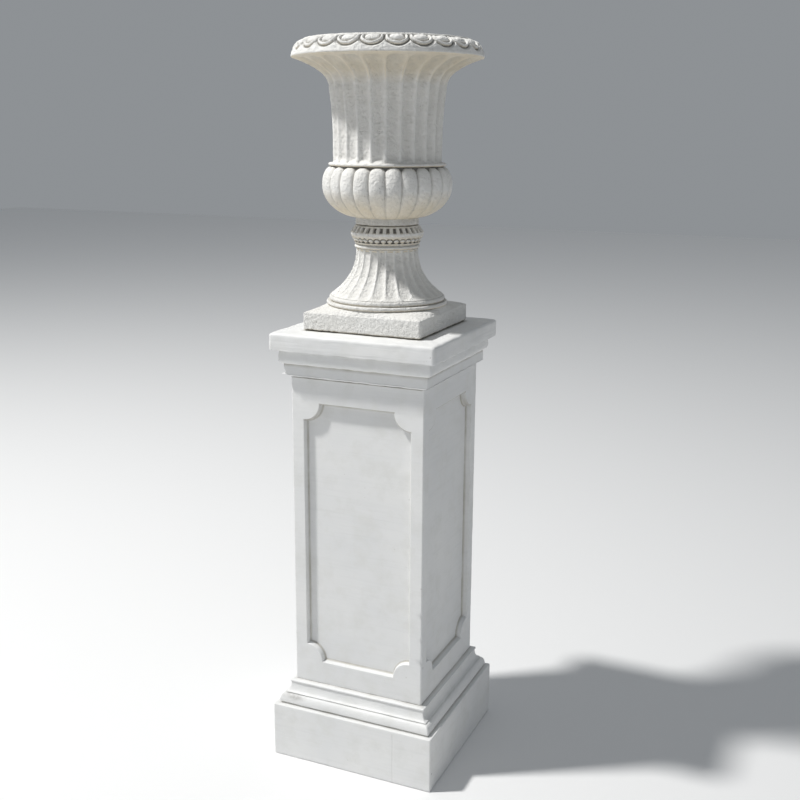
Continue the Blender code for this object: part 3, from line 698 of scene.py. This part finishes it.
def build_cap():
    """Band, quarter round and slab, closed underneath and on top."""
    corners = [(CAP_MIDDLE, CAP_LOW, 0.0), (SHAFT_HALF + 0.0012, CAP_LOW, 0.0004),
               (BAND_HALF - 0.0014, BAND_LOW - 0.0012, 0.0010), (BAND_HALF, BAND_LOW, 0.0010),
               (BAND_HALF, BAND_HIGH, 0.0006)]
    corners += quarter(ROUND_LOW, ROUND_HIGH, 8, False)
    corners += [(ROUND_HIGH[0] - 0.0001, ROUND_HIGH[1] + 0.0036, 0.0),
                (ROUND_HIGH[0] - 0.0005, ROUND_HIGH[1] + 0.0086, 0.0),
                (BED_HALF + 0.0002, SLAB_LOW - 0.0043, 0.0015), (BED_HALF, SLAB_LOW, 0.0005),
                (SLAB_HALF, SLAB_LOW, 0.0022), (SLAB_HALF, PEDESTAL_TOP, 0.0085),
                (CAP_MIDDLE, PEDESTAL_TOP, 0.0)]
    under_foot = FOOT_HALF + 0.0060
    skin = Skin()
    rings = []
    for half, height in refine(soften(corners, 6), LONGEST_RUN):
        on_slab = height > SLAB_LOW - 0.0013
        corner = MOULDING_CORNER if half > OUTSIDE_FROM and not on_slab else SLAB_CORNER
        shade = dirt_near(CAP_CREVICES, 0.0040, half, height)
        # Painted shade on the cap's top under the urn's foot, fading out just beyond it.
        if height > PEDESTAL_TOP - 0.0005 and half < under_foot:
            shade = max(shade, min(1.0, (under_foot - half) / 0.0080))
        rings.append(skin.ring(square_loop(half, corner, height), shade))
    return skin.build_closed(rings, "pedestal_cap_mouldings")


def panel_loop(inset):
    """Closed outline of the sunk panel, counter-clockwise, moved inwards by the inset."""
    middle, rise = 0.5 * (PANEL_LOW + PANEL_HIGH), 0.5 * (PANEL_HIGH - PANEL_LOW)
    radius = NOTCH_RADIUS + inset
    start = math.asin(min(1.0, max(-1.0, inset / radius)))
    bends = np.linspace(start, 0.5 * math.pi - start, 23)
    arcs = []
    for side, end in ((1, -1), (1, 1), (-1, 1), (-1, -1)):
        arc = [(side * (PANEL_HALF - radius * math.sin(bend)), end * (rise - radius * math.cos(bend)))
               for bend in bends]
        if side * end < 0:
            arc.reverse()
        arcs.append(arc)
    loop = []
    for arc, following in zip(arcs, arcs[1:] + arcs[:1]):
        loop += arc
        last, first = arc[-1], following[0]
        pieces = 48 if math.dist(last, first) < 0.3 else 132
        for piece in range(1, pieces):
            part = piece / pieces
            loop.append((last[0] + (first[0] - last[0]) * part, last[1] + (first[1] - last[1]) * part))
    return [(x, y + middle) for x, y in loop]


def inside_loop(loop, points):
    """Which points lie inside a closed loop."""
    loop = np.asarray(loop)
    points = np.asarray(points)
    inside = np.zeros(len(points), dtype=bool)
    after = np.roll(loop, -1, axis=0)
    for (x0, y0), (x1, y1) in zip(loop, after):
        if y0 == y1:
            continue
        crosses = (y0 > points[:, 1]) != (y1 > points[:, 1])
        inside ^= crosses & (points[:, 0] < (x1 - x0) * (points[:, 1] - y0) / (y1 - y0) + x0)
    return inside


def flat_sheet(loops, spots, belongs):
    """Points and triangles of a flat region; belongs says which triangle centres lie in it."""
    points, edges = [], []
    for loop in loops:
        first = len(points)
        points += [Vector(point) for point in loop]
        count = len(loop)
        edges += [(first + index, first + (index + 1) % count) for index in range(count)]
    points += [Vector(spot) for spot in spots]
    result = delaunay_2d_cdt(points, edges, [], 0, 1e-7)
    flat_points = [(point.x, point.y) for point in result[0]]
    faces = [list(face) for face in result[2]]
    centres = np.array([np.mean([flat_points[v] for v in face], axis=0) for face in faces])
    return flat_points, [face for face, kept in zip(faces, belongs(centres)) if kept]


def side_place(side, flat_points, depth):
    """Points of one side of the shaft, from (across, up) and how deep they are sunk."""
    flat_points = np.asarray(flat_points, dtype=float)
    x, y = spun(SHAFT_HALF - depth, flat_points[:, 0], side)
    return np.stack([x, y, flat_points[:, 1]], axis=1)


def side_sheets(steps, levels):
    """Frame round the panel and the panel's floor, each as flat points and faces."""
    border = [(x, SHAFT_LOW) for x in steps] + [(FRAME_HALF, z) for z in levels[1:-1]]
    border += [(x, SHAFT_HIGH) for x in steps[::-1]] + [(-FRAME_HALF, z) for z in levels[1:-1][::-1]]
    outer, sunk = panel_loop(PANEL_WALL[0][0]), panel_loop(PANEL_WALL[-1][0])
    across, up = np.arange(-0.148, 0.149, SPOT_PITCH), np.arange(0.190, 0.894, SPOT_PITCH)
    grid = np.array([(x, z) for x in across for z in up])
    off_panel = ~inside_loop(panel_loop(-0.0075), grid)
    on_panel = inside_loop(panel_loop(0.0120), grid)
    frame_spots = [tuple(spot) for spot in grid[off_panel] if abs(spot[0]) < FRAME_HALF - 0.004]
    frame_spots += [(x, SHAFT_HIGH - drop) for x in steps[1:-1] for drop in (0.0010, 0.0026)]
    panel_spots = [tuple(spot) for spot in grid[on_panel]]
    frame_sheet = flat_sheet([border, outer], frame_spots, lambda centres: ~inside_loop(outer, centres))
    panel_sheet = flat_sheet([sunk], panel_spots, lambda centres: inside_loop(sunk, centres))
    return frame_sheet, panel_sheet


def add_side(skin, side, frame_sheet, panel_sheet):
    """Frame, panel floor and the wall between them, with painted shade and dirt in its corner, under its
    upper edge and under the cap.
    """
    frame_points, frame_faces = frame_sheet
    # A thin line of painted shade and dirt on the frame just under the cap.
    under_cap = [0.75 * (SHAFT_HIGH - up < 0.0012) for _, up in frame_points]
    skin.sheet(side_place(side, frame_points, 0.0), frame_faces, under_cap)
    panel_points, panel_faces = panel_sheet
    skin.sheet(side_place(side, panel_points, PANEL_DEPTH), panel_faces)
    rings = []
    for inset, depth, shade in PANEL_WALL:
        loop = np.array(panel_loop(inset))
        along = np.roll(loop, -1, axis=0) - np.roll(loop, 1, axis=0)
        faces_down = along[:, 0] / -np.linalg.norm(along, axis=1)
        # Painted shade and dirt on the panel's outer edge, strongest where the edge faces down.
        edge_shade_and_dirt = 0.95 * np.clip(0.25 + 0.75 * faces_down, 0.0, 1.0) if -0.0025 < inset < 0.0012 else 0.0
        rings.append(skin.ring(side_place(side, loop, depth), np.maximum(shade, edge_shade_and_dirt)))
    skin.run(rings)


def arris_points():
    """Rounded corner of the shaft after its +X side, as (x, y)."""
    bends = np.linspace(0.0, 0.5 * math.pi, 6)
    return [(ARRIS_START + SHAFT_ARRIS * math.cos(bend), ARRIS_START + SHAFT_ARRIS * math.sin(bend))
            for bend in bends]


def add_corner(skin, side, levels):
    """Rounded arris after one side, from the foot of the shaft to its top."""
    rows = []
    for x, y in [(SHAFT_HALF, FRAME_HALF), *arris_points(), (FRAME_HALF, SHAFT_HALF)]:
        place = spun(x, y, side)
        rows.append(skin.ring([(*place, z) for z in levels]))
    for left, right in zip(rows, rows[1:]):
        skin.faces += np.stack([left[:-1], right[:-1], right[1:], left[1:]], axis=1).tolist()


def add_end(skin, level, steps):
    """Flat end of the four walls, round the hollow inside."""
    one_side = [(SHAFT_HALF, y) for y in steps] + arris_points()
    outside = [spun(x, y, side) for side in range(4) for x, y in one_side]
    inside = [tuple(point[:2]) for point in square_loop(INSIDE_HALF, INSIDE_CORNER, level, 8, 4)]
    points, faces = flat_sheet([outside, inside], [],
                               lambda centres: ~inside_loop(inside, centres) & inside_loop(outside, centres))
    # The shaft's top end, under the cap, gets painted shade.
    skin.sheet([(x, y, level) for x, y in points], faces, 0.75 if level == SHAFT_HIGH else 0.0)


def build_shaft():
    """Square box, open at both ends, with a sunk panel with notched corners in each side."""
    skin = Skin()
    levels = np.linspace(SHAFT_LOW, SHAFT_HIGH, 240)
    steps = np.linspace(-FRAME_HALF, FRAME_HALF, 45)
    frame_sheet, panel_sheet = side_sheets(steps, levels)
    for side in range(4):
        add_side(skin, side, frame_sheet, panel_sheet)
        add_corner(skin, side, levels)
    for level in (SHAFT_LOW, SHAFT_HIGH):
        add_end(skin, level, steps)
    skin.run([skin.ring(square_loop(INSIDE_HALF, INSIDE_CORNER, level, 8, 4))
              for level in (SHAFT_LOW, SHAFT_HIGH)])
    return skin.build("pedestal_shaft_panelled", 4e-6)


# Chips and worn edges, as (x, y, z), radius and depth in metres

CHIPS = [
    ((0.1571, -0.1571, 0.395), 0.0050, 0.0022),
    ((0.1571, -0.1571, 0.338), 0.0042, 0.0018),
    ((0.1571, -0.1571, 0.285), 0.0055, 0.0024),
    ((-0.1690, -0.1690, 0.9075), 0.0085, 0.0045),
]


def chipped(points):
    """Depth of the chips at each point."""
    depth = np.zeros(len(points))
    for centre, radius, amount in CHIPS:
        away = np.linalg.norm((points - np.array(centre)) / np.array([1.0, 1.0, 1.4]), axis=1) / radius
        depth = np.maximum(depth, amount * np.clip(1.6 * (1.0 - away), 0.0, 1.0))
    return depth


def ragged(points):
    """Chips, and hand-worked edges: the slab's arris and bed line wander a little."""
    half = np.max(np.abs(points[:, :2]), axis=1)
    upper = np.hypot(half - SLAB_HALF, points[:, 2] - PEDESTAL_TOP)
    lower = np.hypot(half - SLAB_HALF, points[:, 2] - SLAB_LOW)
    near_upper, near_lower = np.clip(1.0 - upper / 0.011, 0.0, 1.0), np.clip(1.0 - lower / 0.006, 0.0, 1.0)
    wander = np.clip(0.5 + 0.7 * ripple(points, 0.045, 31), 0.0, 1.0)
    return chipped(points) + 0.0010 * wander * np.maximum(near_upper, near_lower)


def pitted(points):
    """Small pits over the rough slab under the urn."""
    chance = np.random.default_rng(21)
    depth = np.zeros(len(points))
    low = points[:, 2] < URN_LIFT + FOOT_TOP + 0.001
    chosen = np.flatnonzero(low)
    near = points[chosen]
    for _ in range(700):
        centre = near[chance.integers(len(near))]
        radius = chance.uniform(0.0022, 0.0048)
        away = np.linalg.norm(near - centre, axis=1) / radius
        sunk = chance.uniform(0.0003, 0.0011) * np.clip(1.3 - away, 0.0, 1.0)
        depth[chosen] = np.maximum(depth[chosen], sunk)
    return depth


# Finishes


class Nodes:
    """Short way to write a node tree."""

    def __init__(self, name):
        self.material = bpy.data.materials.new(name)
        self.material.use_nodes = True
        self.tree = self.material.node_tree
        self.shader = self.tree.nodes["Principled BSDF"]

    def add(self, kind, settings=None, **inputs):
        node = self.tree.nodes.new(kind)
        for key, value in (settings or {}).items():
            setattr(node, key, value)
        for key, value in inputs.items():
            self.put(node, key.replace("_", " "), value)
        return node

    def put(self, node, key, value):
        """Link a socket to a node's input, or set the input to a number."""
        socket = node.inputs[int(key)] if key.isdigit() else node.inputs[key]
        if isinstance(value, bpy.types.NodeSocket):
            self.tree.links.new(value, socket)
        else:
            socket.default_value = value

    def math(self, operation, first, second=0.0):
        node = self.add("ShaderNodeMath", {"operation": operation})
        self.put(node, "0", first)
        self.put(node, "1", second)
        return node.outputs[0]

    def times(self, first, second):
        return self.math("MULTIPLY", first, second)

    def level(self, value, low, high, start=0.0, end=1.0):
        node = self.add("ShaderNodeMapRange", {"clamp": True}, Value=value, From_Min=low, From_Max=high,
                        To_Min=start, To_Max=end)
        return node.outputs["Result"]

    def mix(self, share, first, second):
        """Blend of two colours, each a socket or three numbers."""
        node = self.add("ShaderNodeMix", {"data_type": "RGBA"})
        for index, value in ((0, share), (6, first), (7, second)):
            self.put(node, str(index), (*value, 1.0) if isinstance(value, tuple) else value)
        return node.outputs[2]

    def noise(self, vector, scale, detail, roughness=0.55):
        node = self.add("ShaderNodeTexNoise", None, Vector=vector, Scale=scale, Detail=detail,
                        Roughness=roughness)
        return node.outputs["Fac"]

    def scaled(self, vector, scale):
        node = self.add("ShaderNodeMapping", None, Vector=vector)
        node.inputs["Scale"].default_value = scale
        return node.outputs[0]

    def bump(self, height, strength, distance):
        node = self.add("ShaderNodeBump", None, Strength=strength, Distance=distance, Height=height)
        return node.outputs["Normal"]

    def distance(self, vector, centre):
        node = self.add("ShaderNodeVectorMath", {"operation": "DISTANCE"})
        self.put(node, "0", vector)
        node.inputs[1].default_value = centre
        return node.outputs["Value"]

    def place(self):
        return self.add("ShaderNodeTexCoord").outputs["Object"]

    # Painted shade and dirt values kept on the mesh points.
    def hollow(self):
        return self.add("ShaderNodeAttribute", {"attribute_name": "hollow"}).outputs["Fac"]


PAINT_GREY, PAINT_WHITE = (0.785, 0.790, 0.790), (0.835, 0.835, 0.825)
BRUSH_GREY, BLOTCH_GREY = (0.700, 0.704, 0.705), (0.735, 0.735, 0.712)
SPECK_BROWN, SHADE_AND_DIRT_BROWN = (0.42, 0.40, 0.36), (0.33, 0.30, 0.235)
SEAM_GREY, PIT_GREY, SMEAR_GREY = (0.50, 0.49, 0.47), (0.30, 0.29, 0.27), (0.40, 0.39, 0.37)
SEAM_ACROSS, SEAM_TOP = 0.105, 0.118
SMEAR_STRETCH, SMEAR_PLACE = 0.30, (-0.150, -0.1815, 0.1470)

# Pits in the paint as centre and radius
PAINT_PITS = [
    ((0.1580, -0.1480, 0.2700), 0.0026),
    ((0.1970, -0.1860, 0.0400), 0.0030),
    ((0.1835, -0.1930, 0.9770), 0.0018),
    ((0.1750, -0.1930, 0.9690), 0.0016),
    ((0.1560, -0.1700, 0.9200), 0.0016),
]


def paint_finish():
    """Matt off-white masonry paint with brush marks, painted shade and dirt in crevices, a few pits, a dark
    smear and a faint seam.
    """
    nodes = Nodes("white_masonry_paint")
    place = nodes.place()
    split = nodes.add("ShaderNodeSeparateXYZ", None, Vector=place)
    patches = nodes.noise(place, 5.0, 3.0)
    strokes = nodes.noise(nodes.scaled(place, (6.0, 6.0, 130.0)), 1.0, 5.0, 0.65)
    grain = nodes.noise(place, 420.0, 3.0, 0.6)
    colour = nodes.mix(nodes.level(patches, 0.35, 0.65), PAINT_GREY, PAINT_WHITE)
    brushed = nodes.level(split.outputs[2], 0.952, 0.962, 0.25, 0.75)
    strokes_shown = nodes.times(nodes.level(strokes, 0.50, 0.72), brushed)
    colour = nodes.mix(strokes_shown, colour, BRUSH_GREY)
    blotches = nodes.noise(place, 24.0, 5.0, 0.6)
    colour = nodes.mix(nodes.level(blotches, 0.48, 0.68, 0.0, 0.55), colour, BLOTCH_GREY)
    speck = nodes.add("ShaderNodeTexVoronoi", None, Vector=place, Scale=48.0).outputs["Distance"]
    sparse = nodes.level(nodes.noise(place, 17.0, 1.0), 0.60, 0.70)
    dots = nodes.times(nodes.level(speck, 0.085, 0.050), sparse)
    colour = nodes.mix(nodes.times(dots, 0.45), colour, SPECK_BROWN)
    # Painted shade and dirt from the values kept on the mesh points, made patchy by noise.
    uneven = nodes.level(nodes.noise(place, 25.0, 2.0), 0.30, 0.70, 0.45, 0.75)
    shade_and_dirt_share = nodes.times(nodes.level(nodes.hollow(), 0.15, 1.0), uneven)
    colour = nodes.mix(shade_and_dirt_share, colour, SHADE_AND_DIRT_BROWN)
    wobble = nodes.level(nodes.noise(place, 40.0, 2.0), 0.0, 1.0, -0.0015, 0.0015)
    offset = nodes.math("ADD", nodes.math("SUBTRACT", split.outputs[0], SEAM_ACROSS), wobble)
    on_front = nodes.times(nodes.level(split.outputs[1], -0.190, -0.194),
                           nodes.level(split.outputs[2], SEAM_TOP + 0.004, SEAM_TOP))
    seam = nodes.times(nodes.level(nodes.math("ABSOLUTE", offset), 0.0016, 0.0003), on_front)
    colour = nodes.mix(nodes.times(seam, 0.28), colour, SEAM_GREY)
    pits = None
    for centre, radius in PAINT_PITS:
        spot = nodes.level(nodes.distance(place, centre), radius, 0.55 * radius)
        pits = spot if pits is None else nodes.math("MAXIMUM", pits, spot)
    colour = nodes.mix(nodes.times(pits, 0.6), colour, PIT_GREY)
    # A dark smear on the base moulding near the front's left end.
    smear_centre = (SMEAR_PLACE[0] * SMEAR_STRETCH, SMEAR_PLACE[1], SMEAR_PLACE[2])
    from_smear = nodes.distance(nodes.scaled(place, (SMEAR_STRETCH, 1.0, 1.0)), smear_centre)
    dark_smear = nodes.times(nodes.level(from_smear, 0.0115, 0.0030),
                        nodes.level(nodes.noise(place, 90.0, 3.0), 0.35, 0.65, 0.3, 0.75))
    colour = nodes.mix(dark_smear, colour, SMEAR_GREY)
    nodes.put(nodes.shader, "Base Color", colour)
    nodes.put(nodes.shader, "Roughness", nodes.level(strokes, 0.3, 0.7, 0.50, 0.66))
    height = nodes.math("ADD", nodes.times(strokes_shown, -1.10), nodes.times(grain, 0.25))
    height = nodes.math("SUBTRACT", height, nodes.times(nodes.math("MAXIMUM", pits, dots), 2.2))
    height = nodes.math("SUBTRACT", height, nodes.times(seam, 0.8))
    nodes.put(nodes.shader, "Normal", nodes.bump(height, 0.55, 0.0006))
    return nodes.material


STONE_GREY, STONE_PALE = (0.810, 0.800, 0.772), (0.872, 0.865, 0.842)
SAND_GREY, LUMP_GREY, STONE_PIT = (0.63, 0.62, 0.59), (0.67, 0.655, 0.62), (0.46, 0.44, 0.40)
REFLECTED_TAN, SHADE_AND_DIRT_GREY, DEEP_SHADOW_GREY = (0.72, 0.635, 0.485), (0.38, 0.365, 0.325), (0.11, 0.105, 0.10)


def stone_finish():
    """Sandy off-white cast stone, rough all over, with painted shade and dirt in its hollows and painted
    warm reflected light on surfaces facing down.
    """
    nodes = Nodes("sandy_cast_stone")
    place, hollow = nodes.place(), nodes.hollow()
    patches = nodes.noise(place, 14.0, 4.0)
    sand = nodes.noise(place, 430.0, 4.0, 0.7)
    lumps = nodes.noise(place, 135.0, 3.0, 0.6)
    colour = nodes.mix(nodes.level(patches, 0.35, 0.65), STONE_GREY, STONE_PALE)
    colour = nodes.mix(nodes.level(sand, 0.54, 0.74, 0.0, 0.28), colour, SAND_GREY)
    colour = nodes.mix(nodes.level(lumps, 0.55, 0.72, 0.0, 0.22), colour, LUMP_GREY)
    # Painted warm reflected light on surfaces facing down.
    facing = nodes.add("ShaderNodeNewGeometry").outputs["Normal"]
    upward = nodes.add("ShaderNodeSeparateXYZ", None, Vector=facing).outputs[2]
    patchy = nodes.level(patches, 0.30, 0.60, 0.55, 0.90)
    reflected_warmth = nodes.times(nodes.level(upward, -0.10, -0.75), patchy)
    colour = nodes.mix(reflected_warmth, colour, REFLECTED_TAN)
    cells = nodes.add("ShaderNodeTexVoronoi", None, Vector=place, Scale=240.0).outputs["Distance"]
    few = nodes.level(nodes.noise(place, 70.0, 2.0), 0.48, 0.62)
    pits = nodes.times(nodes.level(cells, 0.32, 0.12), few)
    colour = nodes.mix(nodes.times(pits, 0.22), colour, STONE_PIT)
    # Painted shade and dirt in the hollows, and painted shadow in the deepest undercuts.
    shade_and_dirt_share = nodes.times(nodes.level(hollow, 0.20, 1.0),
                       nodes.level(nodes.noise(place, 60.0, 4.0), 0.30, 0.70, 0.40, 0.85))
    colour = nodes.mix(nodes.times(shade_and_dirt_share, 0.85), colour, SHADE_AND_DIRT_GREY)
    colour = nodes.mix(nodes.level(hollow, 0.86, 1.0, 0.0, 0.70), colour, DEEP_SHADOW_GREY)
    nodes.put(nodes.shader, "Base Color", colour)
    nodes.put(nodes.shader, "Roughness", nodes.level(sand, 0.3, 0.7, 0.80, 0.93))
    nodes.shader.inputs["Specular IOR Level"].default_value = 0.30
    height = nodes.math("ADD", nodes.times(sand, 0.60), nodes.times(lumps, 2.00))
    height = nodes.math("SUBTRACT", height, nodes.times(pits, 0.7))
    nodes.put(nodes.shader, "Normal", nodes.bump(height, 1.0, 0.0022))
    return nodes.material


def floor_finish():
    nodes = Nodes("pale_floor")
    nodes.shader.inputs["Base Color"].default_value = (0.88, 0.88, 0.88, 1.0)
    nodes.shader.inputs["Roughness"].default_value = 0.85
    return nodes.material


# Camera, light and floor: the camera is at the photograph's viewpoint, from the fit of the pedestal's
# straight edges, with its turn, downward tilt and sideways lean in radians

CAMERA_PLACE = (0.9907739, -2.1718277, 1.4156389)
CAMERA_TURN, CAMERA_DOWN, CAMERA_LEAN = 0.41545719, 0.24104325, 0.00601287
LENS_MM, SENSOR_MM = 48.99, 36.0
SKY_COLOUR, SKY_STRENGTH = (0.90, 0.95, 1.0, 1.0), 0.30
KEY_PLACE, KEY_TARGET = (-3.35, -2.10, 6.9), (0.0, 0.0, 1.1)
KEY_SIZE, KEY_POWER, KEY_COLOUR = 0.6, 540.0, (1.0, 0.99, 0.97)
FLOOR_REACH, FLOOR_HEIGHT = 14.0, -0.0006
PEDESTAL_CREASE, URN_CREASE = 32.0, 40.0


def add_camera():
    forward = Vector((-math.sin(CAMERA_TURN) * math.cos(CAMERA_DOWN),
                      math.cos(CAMERA_TURN) * math.cos(CAMERA_DOWN), -math.sin(CAMERA_DOWN)))
    right = Vector((math.cos(CAMERA_TURN), math.sin(CAMERA_TURN), 0.0))
    up = right.cross(forward)
    leaned_right = math.cos(CAMERA_LEAN) * right + math.sin(CAMERA_LEAN) * up
    leaned_up = -math.sin(CAMERA_LEAN) * right + math.cos(CAMERA_LEAN) * up
    lens = bpy.data.cameras.new("studio_camera")
    lens.sensor_width = SENSOR_MM
    lens.lens = LENS_MM
    lens.clip_end = 100.0
    camera = new_object("studio_camera", lens)
    placed = Matrix((leaned_right, leaned_up, -forward)).transposed().to_4x4()
    placed.translation = CAMERA_PLACE
    camera.matrix_world = placed
    bpy.context.scene.camera = camera


def add_key():
    light = bpy.data.lights.new("key", "AREA")
    light.shape = "DISK"
    light.size = KEY_SIZE
    light.energy = KEY_POWER
    light.color = KEY_COLOUR
    thing = new_object("key", light)
    thing.location = KEY_PLACE
    thing.rotation_euler = (Vector(KEY_TARGET) - Vector(KEY_PLACE)).to_track_quat("-Z", "Y").to_euler()


def add_studio():
    world = bpy.data.worlds.new("studio")
    world.use_nodes = True
    backdrop = world.node_tree.nodes["Background"]
    backdrop.inputs[0].default_value = SKY_COLOUR
    backdrop.inputs[1].default_value = SKY_STRENGTH
    bpy.context.scene.world = world
    bpy.context.scene.view_settings.view_transform = "Standard"
    add_key()
    mesh = bpy.data.meshes.new("floor")
    corners = [(-1, -1), (1, -1), (1, 1), (-1, 1)]
    points = [(FLOOR_REACH * x, FLOOR_REACH * y, FLOOR_HEIGHT) for x, y in corners]
    mesh.from_pydata(points, [], [(0, 1, 2, 3)])
    floor = new_object("floor", mesh)
    mesh.materials.append(floor_finish())


def dress(thing, crease, material, node):
    """Smooth the piece except at edges sharper than the crease angle, give it its material, hang it under
    the root body and hide the CAD part it stands in for.
    """
    thing.data.shade_smooth()
    thing.data.set_sharp_from_angle(angle=math.radians(crease))
    thing.data.materials.append(material)
    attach(thing, "root")
    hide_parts(node)


add_camera()
add_studio()
paint, stone = paint_finish(), stone_finish()

base = build_base()
wear(base, [(0.060, 0.0006), (0.014, 0.0004)], 3, chipped)
dress(base, PEDESTAL_CREASE, paint, "pedestal_base")

shaft = build_shaft()
wear(shaft, [(0.060, 0.0005), (0.012, 0.00025)], 5, chipped)
dress(shaft, PEDESTAL_CREASE, paint, "pedestal_shaft")

cap = build_cap()
wear(cap, [(0.060, 0.0007), (0.016, 0.0007)], 7, ragged)
dress(cap, PEDESTAL_CREASE, paint, "pedestal_cap")

foot = build_urn_foot()
wear(foot, [(0.030, 0.0004), (0.0065, 0.0005)], 11, pitted)
dress(foot, URN_CREASE, stone, "garden_urn")

bowl = build_urn_bowl()
wear(bowl, [(0.030, 0.0005), (0.0065, 0.0004)], 13)
dress(bowl, URN_CREASE, stone, "garden_urn")
